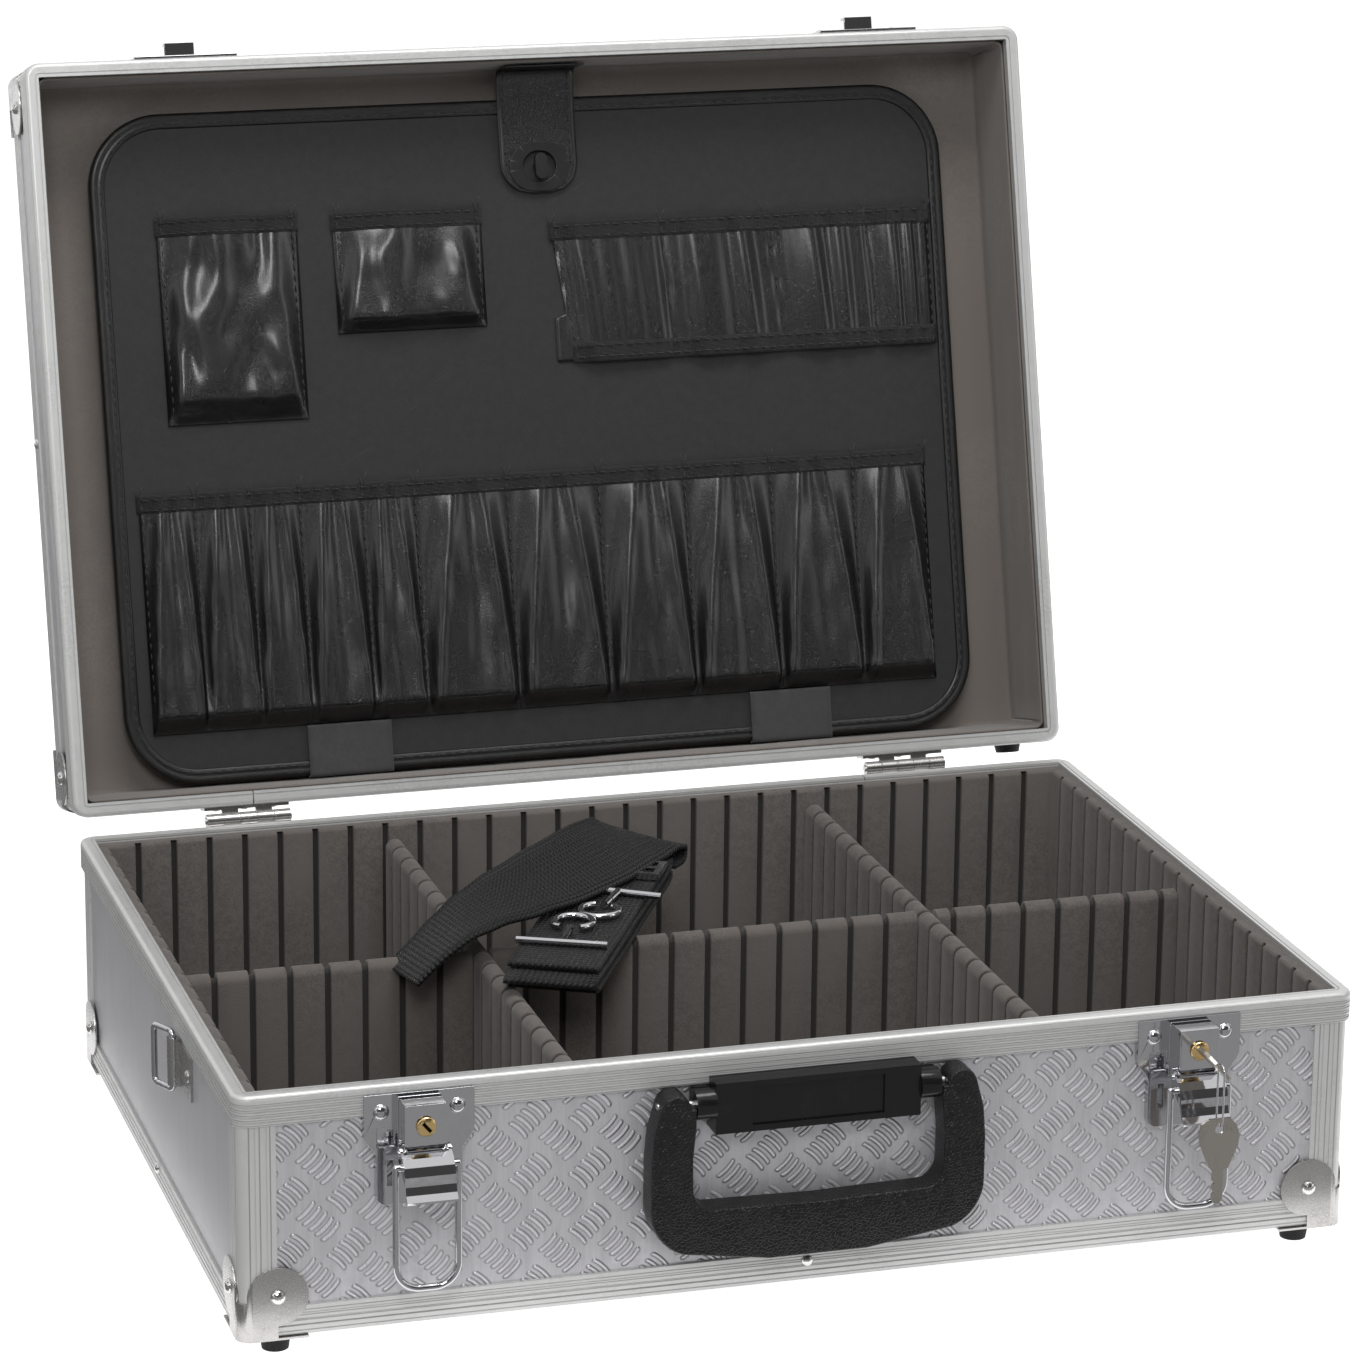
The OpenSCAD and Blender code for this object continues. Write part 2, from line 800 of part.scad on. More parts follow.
// Flat key: hole near the top of its head, blade down -Z, flat across Y
module key_shape(hole_r) {
  rotate([90, 0, 0])
    translate([0, 0, -key_t / 2])
      linear_extrude(key_t)
        difference() {
          polygon([[-4.4, 4.6], [4.6, 4.6], [7.4, 1.4], [8.7, -3.4], [8.2, -7], [4.2, -16.6],
            [2.3, -16.8], [2.3, -29.4], [1, -key_tip], [-1, -key_tip], [-2.3, -29.4],
            [-2.3, -27.4], [-1.5, -26.4], [-2.3, -25.2], [-2.3, -23.6], [-1.3, -22.6],
            [-2.3, -21.4], [-2.3, -17.6], [-3.9, -15.8], [-7.9, -6], [-8.7, -1], [-7.6, 2.6]]);
          circle(r = hole_r, $fn = mesh_n);
        }
}

module lock_key() {
  color("gray")
    translate([latch_x, key_hole_y, barrel_z])
      rotate([0, 90 - key_roll, 0])
        rotate([90, 0, 0])
          key_shape(key_hole_r);
}

// Long oval wire link: one leg goes through the lock's key, the other in front of it
module key_ring() {
  straight = link_l - 2 * link_r;
  color("lightgray")
    translate([latch_x, link_y, link_top - link_l / 2])
      rotate([0, 0, 90])
        rotate([90, 0, 0]) {
          for (s = [-1, 1]) {
            translate([s * link_r, -straight / 2, 0])
              rotate([-90, 0, 0]) cylinder(r = link_wire, h = straight, $fn = mesh_n / 2);
            translate([0, s * straight / 2, 0])
              rotate([0, 0, s < 0 ? 180 : 0])
                rotate_extrude(angle = 180, $fn = mesh_n)
                  translate([link_r, 0]) circle(r = link_wire, $fn = mesh_n / 2);
          }
        }
}

module spare_key() {
  color("gray")
    translate([latch_x, link_y, spare_hole_z])
      key_shape(spare_hole_r);
}

module at_latch(s) { translate([s * latch_x, 0, 0]) children(); }

module latch_plate_left() { at_latch(-1) latch_plate(); }
module latch_plate_right() { at_latch(1) latch_plate(); }
module lever_left() { at_latch(-1) lever(); }
module lever_right() { at_latch(1) lever(); }
module bail_left() { at_latch(-1) bail(); }
module bail_right() { at_latch(1) bail(); }
module lock_barrel_left() { at_latch(-1) lock_barrel(); }
module lock_barrel_right() { at_latch(1) lock_barrel(); }

// Catch on the lid that the bail's bar is drawn down on
module catch_plate() {
  wide = 46;
  hook_w = 13.5;
  low = rim_top + rim_seam + 1.2;
  // The bail's bar curves down before it reaches the tongue's sides
  past = max(0, hook_w / 2 + bail_bend - bail_w / 2);
  tongue_z = catch_bar_z - bail_r - 0.15 - bail_bend + sqrt(pow(bail_bend, 2) - pow(past, 2));
  top = catch_bar_z + 6;
  translate([-wide / 2, plate_y, low])
    cube([wide, latch_t, top - low]);
  translate([-wide / 2, -rim_y, rim_top + rim_seam + rim_h + 0.4])
    cube([wide, rim_y - panel_y, top - rim_top - rim_seam - rim_h - 0.4]);
  translate([-hook_w / 2, plate_y - 6.8, tongue_z - 1.5])
    cube([hook_w, 6.9, 1.5]);
  translate([-hook_w / 2, plate_y - 6.8, tongue_z - 0.1])
    cube([hook_w, 1.5, 4.2]);
  for (s = [-1, 1])
    translate([s * (wide / 2 - 6), plate_y, top - 6])
      rotate([90, 0, 0]) rivet(2.8, 1.8);
}

module catch_plates() {
  color("silver")
    on_lid()
      both_sides()
        translate([latch_x, 0, 0]) catch_plate();
}

// ---- Handle ----

module handle_bracket() {
  half = bracket_w / 2;
  back = -panel_y;
  front = handle_y - 3.4;
  color([0.1, 0.1, 0.1])
    difference() {
      union() {
        translate([-half + 8, front, handle_z - 12])
          cube([bracket_w - 16, -rim_y - 0.2 - front, 21]);
        translate([-half + 8, -rim_y - 0.3, handle_z - 12])
          cube([bracket_w - 16, back + rim_y + 0.3, rim_top - rim_h - 0.2 - handle_z + 12]);
        for (s = [-1, 1])
          scale_x(s) {
            translate([half - 8.2, handle_y, handle_z])
              rotate([0, 90, 0]) cylinder(r = 6.1, h = 8.2, $fn = mesh_n);
            translate([half - 8.2, handle_y, handle_z - 5])
              cube([8.2, -rim_y - 0.2 - handle_y, 10]);
          }
      }
      // Recessed centre field and the pin holes
      translate([-27, front - 1, handle_z - 9.5])
        cube([54, 2.2, 16]);
      for (s = [-1, 1])
        translate([s * half - 10, handle_y, handle_z])
          rotate([0, 90, 0])
            cylinder(r = handle_pin_r + run_gap, h = 20, $fn = mesh_n);
    }
}

module handle_pins() {
  color("gray")
    both_sides()
      translate([bracket_w / 2 - 9.6, handle_y, handle_z])
        rotate([0, 90, 0])
          cylinder(r = handle_pin_r, h = handle_w / 2 - bracket_w / 2 + 6, $fn = mesh_n);
}

// Outline of the handle's loop: half of it is given, the rest is mirrored
module loop_outline(inset) {
  arm_x = bracket_w / 2 + 0.4 + arm_r;
  out = handle_w / 2 - inset;
  low = -handle_drop + inset;
  half = concat(
    arc(arm_x + 1, 0, arm_r - inset, 90, 20, 4),
    [[out - 1, -10], [out, -22]],
    arc(out - 20, low + 24, 20, 0, -70, 7),
    [[20, low], [0, low]]);
  polygon(concat(half, [for (i = [len(half) - 1:-1:0]) [-half[i][0], half[i][1]]]));
}

module loop_hole(grow) {
  inner = bracket_w / 2 + 0.4;
  low = -handle_drop + grip_h - grow;
  half = concat(
    [[0, 20], [inner, 20], [inner, -10]],
    [[inner + 1.2 + grow, -20]],
    arc(inner - 8, low + 9.6, 9 + grow, 0, -72, 5),
    [[24, low + 0.6], [0, low]]);
  polygon(concat(half, [for (i = [len(half) - 1:-1:0]) [-half[i][0], half[i][1]]]));
}

module handle() {
  edge = 2.4;
  color([0.08, 0.08, 0.08])
    translate([0, handle_y, handle_z])
      difference() {
        union() {
          translate([0, handle_t / 2 - edge, 0])
            rotate([90, 0, 0])
              linear_extrude(handle_t - 2 * edge)
                difference() {
                  loop_outline(0);
                  loop_hole(0);
                }
          for (y = [handle_t / 2 - edge / 2, -handle_t / 2 + edge + 0.01])
            translate([0, y, 0])
              rotate([90, 0, 0])
                linear_extrude(edge / 2)
                  difference() {
                    loop_outline(edge * 0.35);
                    loop_hole(edge * 0.35);
                  }
          for (y = [handle_t / 2, -handle_t / 2 + edge / 2 + 0.01])
            translate([0, y, 0])
              rotate([90, 0, 0])
                linear_extrude(edge / 2)
                  difference() {
                    loop_outline(edge);
                    loop_hole(edge);
                  }
        }
        // Pin holes through both arms
        translate([-handle_w, 0, 0])
          rotate([0, 90, 0])
            cylinder(r = handle_pin_r + run_gap, h = 2 * handle_w, $fn = mesh_n);
        // Arm ends rounded so that they turn clear of the rim
        translate([-handle_w, 0, 0])
          rotate([90, 0, 90])
            linear_extrude(2 * handle_w)
              difference() {
                translate([-handle_t, 0]) square([2 * handle_t, 2 * arm_r]);
                circle(r = handle_t / 2 - 0.02, $fn = mesh_n);
              }
      }
}

// ---- Side rings ----

module ring_plate() {
  tall = 20;
  roll_r = ring_wire_r + 0.3 + 1;
  difference() {
    union() {
      translate([panel_x, ring_axis_y - 25, ring_z - tall / 2 + 1])
        cube([1, 24, tall - 2]);
      translate([ring_axis_x, ring_axis_y, ring_z - tall / 2])
        cylinder(r = roll_r, h = tall, $fn = mesh_n);
      translate([panel_x, ring_axis_y - 3, ring_z - tall / 2])
        cube([2.4, 3, tall]);
    }
    translate([ring_axis_x, ring_axis_y, ring_z - tall])
      cylinder(r = ring_wire_r + run_gap, h = 2 * tall, $fn = mesh_n);
  }
  translate([panel_x + 1, ring_axis_y - 19, ring_z])
    rotate([0, 90, 0]) rivet(2.6, 1.4);
}

module ring_plates() { color("lightgray") both_sides() ring_plate(); }

// Rectangular ring: its near bar turns in the plate's roll
module side_ring() {
  bend = 2.6;
  up = ring_tall / 2 - ring_wire_r;
  color("lightgray")
    translate([ring_axis_x, ring_axis_y, ring_z])
      rotate([0, 0, -ring_out]) {
        for (y = [0, ring_wide])
          translate([0, y, -up + bend])
            cylinder(r = ring_wire_r, h = 2 * (up - bend), $fn = mesh_n);
        for (s = [-1, 1])
          translate([0, bend, s * up])
            rotate([-90, 0, 0])
              cylinder(r = ring_wire_r, h = ring_wide - 2 * bend, $fn = mesh_n);
        for (c = [[ring_wide - bend, 1, 0], [bend, 1, 90], [bend, -1, 180],
                  [ring_wide - bend, -1, 270]])
          translate([0, c[0], c[1] * (up - bend)])
            rotate([0, 0, 90])
              rotate([90, 0, 0])
                rotate([0, 0, c[2]])
                  rotate_extrude(angle = 90, $fn = mesh_n)
                    translate([bend, 0]) circle(r = ring_wire_r, $fn = mesh_n);
      }
}

module side_ring_right() { side_ring(); }
module side_ring_left() { mirror([1, 0, 0]) side_ring(); }

// ---- Shoulder strap, folded up and laid across the dividers ----

webbing_w = 38;
webbing_t = 2.4;
fold_l = 150;
fold_layers = 4;
strap_at = [-42, 6, divider_top + 0.3];

// Flat webbing laid to and fro in layers, drawn along +X with its edge on Z
module fold_side() {
  pitch = webbing_t + 0.5;
  for (i = [0:fold_layers - 1]) {
    translate([-fold_l / 2, i * pitch]) square([fold_l, webbing_t]);
    if (i < fold_layers - 1)
      translate([(i % 2 == 0 ? 1 : -1) * fold_l / 2, i * pitch + webbing_t + 0.25])
        difference() {
          circle(r = webbing_t + 0.25, $fn = mesh_n);
          circle(r = 0.25, $fn = mesh_n);
          translate([i % 2 == 0 ? -10 : 0, -5]) square([10, 10]);
        }
  }
}

module shoulder_strap() {
  color([0.06, 0.06, 0.06]) {
    translate(strap_at)
      rotate([0, 0, 62])
        translate([0, webbing_w / 2, 0])
          rotate([90, 0, 0])
            linear_extrude(webbing_w) fold_side();
    // End that is led across the left divider
    translate([divider_left_x - 34, -42, divider_top + 0.3])
      rotate([0, 0, 14])
        translate([0, webbing_w / 2, 0])
          rotate([90, 0, 0])
            linear_extrude(webbing_w) {
              square([46, webbing_t]);
              translate([0, webbing_t + 1]) difference() {
                circle(r = webbing_t + 1, $fn = mesh_n);
                circle(r = 1, $fn = mesh_n);
                translate([0, -9]) square([18, 18]);
              }
              translate([0, webbing_t + 2]) square([30, webbing_t]);
            }
  }
}

// Snap hook lying flat: swivel eye bar at x = 0, hook towards +X
module snap_hook() {
  wire = 1.6;
  swivel = wire + 0.2;
  translate([0, 0, wire - 0.4]) {
    rotate([90, 0, 0]) cylinder(r = wire, h = webbing_w, center = true, $fn = mesh_n);
    rotate([0, 90, 0]) cylinder(r = swivel, h = 12, $fn = mesh_n);
    translate([26, 0, 0])
      rotate([0, 0, -150])
        rotate_extrude(angle = 300, $fn = mesh_n)
          translate([8, 0]) circle(r = wire, $fn = mesh_n);
    translate([11, 0, 0])
      rotate([0, 90, 0]) cylinder(r = wire, h = 7.4, $fn = mesh_n);
  }
}

module snap_hooks() {
  stack = fold_layers * (webbing_t + 0.5);
  color("lightgray") {
    translate([strap_at[0] - 24, strap_at[1] - 42, strap_at[2] + stack + 0.2])
      rotate([0, 0, 64]) snap_hook();
    translate([strap_at[0] + 16, strap_at[1] + 14, strap_at[2] + stack + 0.2])
      rotate([0, 0, 236]) snap_hook();
  }
}

module strap_slider() {
  stack = fold_layers * (webbing_t + 0.5);
  color("lightgray")
    translate([strap_at[0] + 22, strap_at[1] + 46, strap_at[2] + stack + 0.2])
      rotate([0, 0, 62])
        linear_extrude(2.6)
          difference() {
            square([18, webbing_w + 7], center = true);
            for (x = [-4, 4])
              translate([x, 0]) square([5, webbing_w + 1], center = true);
          }
}

// ---- Lid ----

module lid_top_panel() { color("silver") lid_tray() tray_floor(); }

module lid_wall_panels() {
  color("silver")
    lid_tray() {
      tray_front(lid_h);
      mirror([0, 1, 0]) tray_front(lid_h);
      tray_side(lid_h);
      mirror([1, 0, 0]) tray_side(lid_h);
    }
}

module lid_rim() { color("gainsboro") lid_tray() tray_rim(lid_h, -150); }
module lid_edge_profiles() { color("gainsboro") lid_tray() tray_edges(); }
module lid_corner_posts() { color("gainsboro") lid_tray() tray_posts(lid_h); }
module lid_corner_caps() { color("lightgray") lid_tray() four_corners() corner_cap(); }
module lid_rivets() { color("lightgray") lid_tray() tray_rivets(); }

module lid_foot() {
  color("black")
    on_lid()
      translate([edge_x - post_w - 2, edge_y + cap_t, rim_top + rim_seam + 22.5])
        rotate([-90, 0, 0]) foot(rear_foot_r, rear_foot_h - edge_proud - cap_t);
}

module lid_lining() {
  x = inner_x - rim_lip_t;
  y = inner_y - rim_lip_t;
  t = lid_lining_t;
  tall = lid_h - edge_proud - panel_t - 5;
  color([0.33, 0.31, 0.3])
    lid_tray()
      translate([0, 0, panel_t])
        difference() {
          translate([-x, -y, 0]) cube([2 * x, 2 * y, tall]);
          translate([-x + t, -y + t, t]) cube([2 * (x - t), 2 * (y - t), tall]);
        }
}

// ---- Pallet: drawn closed, its face down towards the base ----

module on_pallet() {
  on_lid()
    translate([0, pallet_mid, pallet_z])
      children();
}

module pallet_board() {
  color([0.13, 0.13, 0.13])
    on_pallet()
      linear_extrude(pallet_t)
        round_rect(pallet_w - 2 * leather_t, pallet_l - 2 * leather_t, pallet_r - leather_t);
}

module pallet_binding() {
  color([0.08, 0.08, 0.08])
    on_pallet()
      difference() {
        translate([0, 0, -leather_t])
          linear_extrude(pallet_t + 2 * leather_t)
            round_rect(pallet_w, pallet_l, pallet_r);
        translate([0, 0, 0])
          linear_extrude(pallet_t)
            round_rect(pallet_w - 2 * leather_t, pallet_l - 2 * leather_t, pallet_r - leather_t);
        translate([0, 0, -2 * leather_t])
          linear_extrude(pallet_t + 4 * leather_t)
            round_rect(pallet_w - 2 * binding_w, pallet_l - 2 * binding_w, pallet_r - binding_w);
      }
}

tab_w = 38.5;
tab_l = 23;
tab_x = [-98, 110];

// Cloth tabs folded round the pallet's hinge edge
module pallet_tabs() {
  color([0.25, 0.25, 0.25])
    on_pallet()
      for (x = tab_x)
        translate([x - tab_w / 2, pallet_l / 2 - tab_l, -2 * leather_t - 0.05])
          cube([tab_w, tab_l, leather_t]);
}

pocket_out = 9;       // how far the slack pockets stand off the board
pocket_top = 129.5;   // from the hinge edge to the lower row's mouth
pocket_low = 23;
pocket_seams = [-187, -162, -137, -114, -85, -61, -18, 25, 66, 107, 147, 182];
loop_seams = [10, 62, 112, 160, 191];

// Outline of a slack pocket between two seams: flat at the seams, full in the middle
function pocket_edge(half, full, k) =
  [for (i = [0:8]) [-(half - 2 * k) * cos(22.5 * i), (full - k) * sin(22.5 * i) + (k == 0 ? 0.6 : 0)]];

module pocket_section(half, hollow) {
  full = min(pocket_out, half * 0.62) - 0.6;
  difference() {
    polygon(concat([[-half, 0]], pocket_edge(half, full, 0), [[half, 0]]));
    if (hollow)
      polygon(concat([[-half + 2, -1]], pocket_edge(half, full, leather_t), [[half - 2, -1]]));
  }
}

// Its mouth is away from the hinge edge; a loop is open at both ends
module pocket_body(x0, x1, y0, y1, floor_t = 2) {
  half = (x1 - x0) / 2 - 0.4;
  translate([(x0 + x1) / 2, pallet_l / 2 - y1, -0.05])
    rotate([-90, 0, 0]) {
      linear_extrude(y1 - y0 - floor_t) pocket_section(half, true);
      if (floor_t > 0)
        translate([0, 0, y1 - y0 - floor_t - 0.1])
          linear_extrude(floor_t + 0.1) pocket_section(half, false);
    }
}

module pallet_pockets() {
  color([0.07, 0.07, 0.07])
    on_pallet() {
      for (i = [0:len(pocket_seams) - 2])
        pocket_body(pocket_seams[i], pocket_seams[i + 1], pocket_low, pocket_top);
      for (i = [0:len(loop_seams) - 2])
        pocket_body(loop_seams[i], loop_seams[i + 1], 179, 242, 0);
      pocket_body(-171, -107, 160, 252);
      pocket_body(-91, -22, 197, 251);
    }
}

button_x = 6.5;
button_y = -pallet_l / 2 + 31;

module turn_button() {
  color([0.35, 0.35, 0.35])
    on_pallet()
      translate([button_x, button_y, 0]) {
        mirror([0, 0, 1]) {
          cylinder(r = 2.4, h = 6.2, $fn = mesh_n);
          translate([0, 0, 4.4])
            linear_extrude(2.6) {
              square([5.6, 6], center = true);
              for (s = [-1, 1])
                translate([0, s * 3]) circle(r = 2.8, $fn = mesh_n);
            }
        }
      }
}

strap_root_y = -lid_in_y + 0.3;
strap_root_z = rim_top + rim_seam + 8;
strap_face_z = pallet_z - leather_t - 0.4;

// Side view of the closing strap: from the front wall over the pallet's edge
module strap_side(t) {
  tip_y = pallet_mid + button_y + 12;
  edge_y = pallet_front + 2;
  top = [[strap_root_y + t, strap_root_z], [strap_root_y + t, strap_face_z - 9],
    [strap_root_y + t + 2.5, strap_face_z - 3.6], [edge_y - 2, strap_face_z - 1.4], [edge_y + 7, strap_face_z - 1],
    [tip_y, strap_face_z - 1]];
  bottom = [for (i = [len(top) - 1:-1:0])
    i == 0 ? [strap_root_y, strap_root_z]
    : i == 1 ? [strap_root_y, strap_face_z - 8.4]
    : i == 2 ? [strap_root_y + 1.8, strap_face_z - 2.6]
    : [top[i][0], top[i][1] + t]];
  polygon(concat(top, bottom));
}

module closing_strap() {
  color([0.07, 0.07, 0.07])
    on_lid()
      difference() {
        translate([button_x - strap_w / 2, 0, 0])
          rotate([90, 0, 90])
            linear_extrude(strap_w) strap_side(leather_t);
        translate([button_x, pallet_mid + button_y, strap_face_z - 6])
          eyelet_hole(12);
      }
}

module eyelet_hole(h) {
  linear_extrude(h) {
    square([1.4, 14], center = true);
    for (s = [-1, 1])
      translate([s * 0.7, 0]) circle(r = 7, $fn = mesh_n);
  }
}

module strap_eyelet() {
  color([0.3, 0.3, 0.3])
    on_lid()
      translate([button_x, pallet_mid + button_y, strap_face_z - 1 - 0.9])
        difference() {
          linear_extrude(0.85) {
            square([6, 22], center = true);
            for (s = [-1, 1])
              translate([s * 3, 0]) circle(r = 11, $fn = mesh_n);
          }
          translate([0, 0, -1]) eyelet_hole(4);
        }
}

base_bottom_panel();
base_front_panel();
base_back_panel();
base_left_panel();
base_right_panel();
base_rim();
base_edge_profiles();
base_corner_posts();
base_corner_caps();
base_rivets();
base_feet();
rear_feet();
base_wall_lining();
base_floor_pad();
divider_left();
divider_right();
cross_divider_left();
cross_divider_middle();
cross_divider_right();
hinge_leaves_base();
hinge_pins();
latch_plate_left();
latch_plate_right();
lever_pins();
lever_left();
lever_right();
bail_left();
bail_right();
lock_barrel_left();
lock_barrel_right();
lock_key();
key_ring();
spare_key();
handle_bracket();
handle_pins();
handle();
ring_plates();
side_ring_left();
side_ring_right();
shoulder_strap();
snap_hooks();
strap_slider();
lid_top_panel();
lid_wall_panels();
lid_rim();
lid_edge_profiles();
lid_corner_posts();
lid_corner_caps();
lid_rivets();
lid_foot();
lid_lining();
hinge_leaves_lid();
catch_plates();
pallet_board();
pallet_binding();
pallet_tabs();
pallet_pockets();
turn_button();
closing_strap();
strap_eyelet();
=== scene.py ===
from bisect import bisect_right
from functools import cache
from math import ceil, cos, exp, floor, pi, radians, sin, sqrt

import bmesh
import bpy
from bpy.props import FloatProperty, FloatVectorProperty, PointerProperty
from mathutils import Matrix, Vector, noise


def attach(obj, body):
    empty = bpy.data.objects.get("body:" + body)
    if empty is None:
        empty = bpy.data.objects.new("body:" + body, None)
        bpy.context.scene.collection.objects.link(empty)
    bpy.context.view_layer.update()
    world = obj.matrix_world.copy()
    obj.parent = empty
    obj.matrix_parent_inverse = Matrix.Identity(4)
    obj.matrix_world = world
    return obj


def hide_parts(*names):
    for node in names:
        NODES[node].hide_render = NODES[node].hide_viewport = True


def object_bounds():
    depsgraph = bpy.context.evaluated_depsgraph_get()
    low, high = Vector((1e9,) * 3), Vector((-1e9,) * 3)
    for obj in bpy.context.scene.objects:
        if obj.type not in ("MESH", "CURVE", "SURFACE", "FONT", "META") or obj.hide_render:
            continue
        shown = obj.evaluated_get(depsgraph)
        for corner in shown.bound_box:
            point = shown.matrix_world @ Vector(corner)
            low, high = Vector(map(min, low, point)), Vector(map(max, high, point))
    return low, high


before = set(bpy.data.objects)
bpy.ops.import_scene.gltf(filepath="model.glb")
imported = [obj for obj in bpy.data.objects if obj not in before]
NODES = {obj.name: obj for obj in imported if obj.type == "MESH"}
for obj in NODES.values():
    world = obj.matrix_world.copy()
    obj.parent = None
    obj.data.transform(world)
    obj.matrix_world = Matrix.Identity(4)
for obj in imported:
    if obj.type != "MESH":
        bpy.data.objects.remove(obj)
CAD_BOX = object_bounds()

bl_info = {
    "name": "Hard tool case",
    "version": (1, 0, 0),
    "blender": (4, 5, 0),
    "location": "3D View > Sidebar > Tool case",
    "description": "Dresses the hard tool case with its materials, lining, pallet and strap",
    "category": "Object",
}

MM = 0.001
GROUND = CAD_BOX[0][2]

# Sizes shared with the part's source, in millimetres
INNER_X, INNER_Y = 224.5, 159.5
RIM_TOP, RIM_SEAM = 99.0, 0.5
RIM_LIP = 0.7
FOAM = 6.0
FOAM_X, FOAM_Y = INNER_X - FOAM, INNER_Y - FOAM
FLOOR_Z = 6.0
DIVIDER_TOP = 90.0
DIVIDER_T = 8.0
GROOVE_PITCH, GROOVE_W, GROOVE_DEEP, DIVIDER_GROOVE = 15.8, 2.7, 3.0, 2.0
LEFT_X, RIGHT_X = -91.0, 104.0
SEAT = 0.3
HINGE_Y, HINGE_Z = 170.6, 99.25
LID_OPEN = 104.74
LID_TOP = 149.5
PANEL_T = 3.0
LID_IN_Y = 156.8
PALLET_W, PALLET_L, PALLET_T, PALLET_R = 399.0, 299.0, 4.0, 33.0
PALLET_Z = RIM_TOP + RIM_SEAM + 32
PALLET_BACK = LID_IN_Y - 1
PALLET_MID = PALLET_BACK - PALLET_L / 2
BUTTON_X, BUTTON_Y = 6.5, -PALLET_L / 2 + 31
STRAP_W = 36.0
POCKET_SEAMS = (-187, -162, -137, -114, -85, -61, -18, 25, 66, 107, 147, 182)
POCKET_LOW, POCKET_TOP = 23.0, 129.5
LOOP_SEAMS = (10, 62, 112, 160, 191)
LOOP_LEAN = (8.0, 3.6, 7.4, 3.0, 0.0)
LOOP_LOW, LOOP_TOP = 179.0, 242.0
# Each single pocket from left to right, and from the hinge edge up
TALL_POCKET = (-171, -107, 160, 252)
WIDE_POCKET = (-91, -22, 197, 251)
SINGLE_POCKETS = (TALL_POCKET, WIDE_POCKET)
SHEET_LIFT = 0.9
MOUTH_TAPE = 8.0
SEW_IN = 1.6
HANDLE_Y, HANDLE_Z = -171.4, 81.0
HANDLE_W, HANDLE_T, GRIP_H, HANDLE_DROP = 137.0, 12.4, 22.0, 65.0
BRACKET_W, ARM_R = 100.0, 8.0

LID = (
    Matrix.Translation((0, HINGE_Y, HINGE_Z))
    @ Matrix.Rotation(radians(-LID_OPEN), 4, "X")
    @ Matrix.Translation((0, -HINGE_Y, -HINGE_Z))
)
# A tray's own frame to the lid: the lid is the base's tray upside down
LID_TRAY = LID @ Matrix.Translation((0, 0, LID_TOP - 1)) @ Matrix.Diagonal((1, 1, -1, 1))
PALLET = LID @ Matrix.Translation((0, PALLET_MID, PALLET_Z))


# ---- Colours and sizes that a user would change ----

class ToolCaseFinish(bpy.types.PropertyGroup):
    """Colours of the case's finishes"""
    sheet: FloatVectorProperty(
        name="Panels", description="Laminated sheet of the walls", subtype="COLOR",
        size=3, min=0, max=1, default=(0.47, 0.462, 0.482))
    profile: FloatVectorProperty(
        name="Profiles", description="Extruded rims, edges and posts", subtype="COLOR",
        size=3, min=0, max=1, default=(0.60, 0.60, 0.595))
    foam: FloatVectorProperty(
        name="Lining", description="Ribbed lining and dividers of the base", subtype="COLOR",
        size=3, min=0, max=1, default=(0.118, 0.105, 0.096))
    cloth: FloatVectorProperty(
        name="Lid cloth", description="Cloth inside the lid", subtype="COLOR",
        size=3, min=0, max=1, default=(0.185, 0.165, 0.150))
    leather: FloatVectorProperty(
        name="Leatherette", description="Pockets, binding and closing strap", subtype="COLOR",
        size=3, min=0, max=1, default=(0.0055, 0.0052, 0.0055))
    board: FloatVectorProperty(
        name="Pallet board", description="Face of the pallet", subtype="COLOR",
        size=3, min=0, max=1, default=(0.022, 0.021, 0.0225))
    webbing: FloatVectorProperty(
        name="Webbing", description="Shoulder strap", subtype="COLOR",
        size=3, min=0, max=1, default=(0.0045, 0.0045, 0.005))


class ToolCaseSizes(bpy.types.PropertyGroup):
    """Sizes of the fine detail"""
    rib: FloatProperty(
        name="Tread rib", description="Length of one raised rib on the tread plate",
        default=0.0092, min=0.003, max=0.012, unit="LENGTH")
    stitch: FloatProperty(
        name="Stitch", description="Length of one stitch",
        default=0.0036, min=0.002, max=0.006, unit="LENGTH")
    slack: FloatProperty(
        name="Pocket slack", description="How far a pocket stands off the board",
        default=0.0088, min=0.004, max=0.0095, unit="LENGTH")
    distance: FloatProperty(
        name="Camera distance", description="From the camera to the case",
        default=2.137, min=1, max=5, unit="LENGTH")


# ---- Node helpers ----

def new_node(tree, kind, **settings):
    node = tree.nodes.new(kind)
    for key, value in settings.items():
        setattr(node, key, value)
    return node


def feed(tree, socket, value):
    if isinstance(value, bpy.types.NodeSocket):
        tree.links.new(value, socket)
    elif value is not None:
        socket.default_value = value


def sums(tree, operation, a, b=None):
    node = new_node(tree, "ShaderNodeMath", operation=operation)
    for socket, value in zip(node.inputs, (a, b)):
        feed(tree, socket, value)
    return node.outputs[0]


def plus(tree, a, b):
    return sums(tree, "ADD", a, b)


def minus(tree, a, b):
    return sums(tree, "SUBTRACT", a, b)


def times(tree, a, b):
    return sums(tree, "MULTIPLY", a, b)


def ramp(tree, value, low, high, out_low=0.0, out_high=1.0):
    node = new_node(tree, "ShaderNodeMapRange", interpolation_type="SMOOTHSTEP")
    for socket, given in zip(node.inputs, (value, low, high, out_low, out_high)):
        feed(tree, socket, given)
    return node.outputs[0]


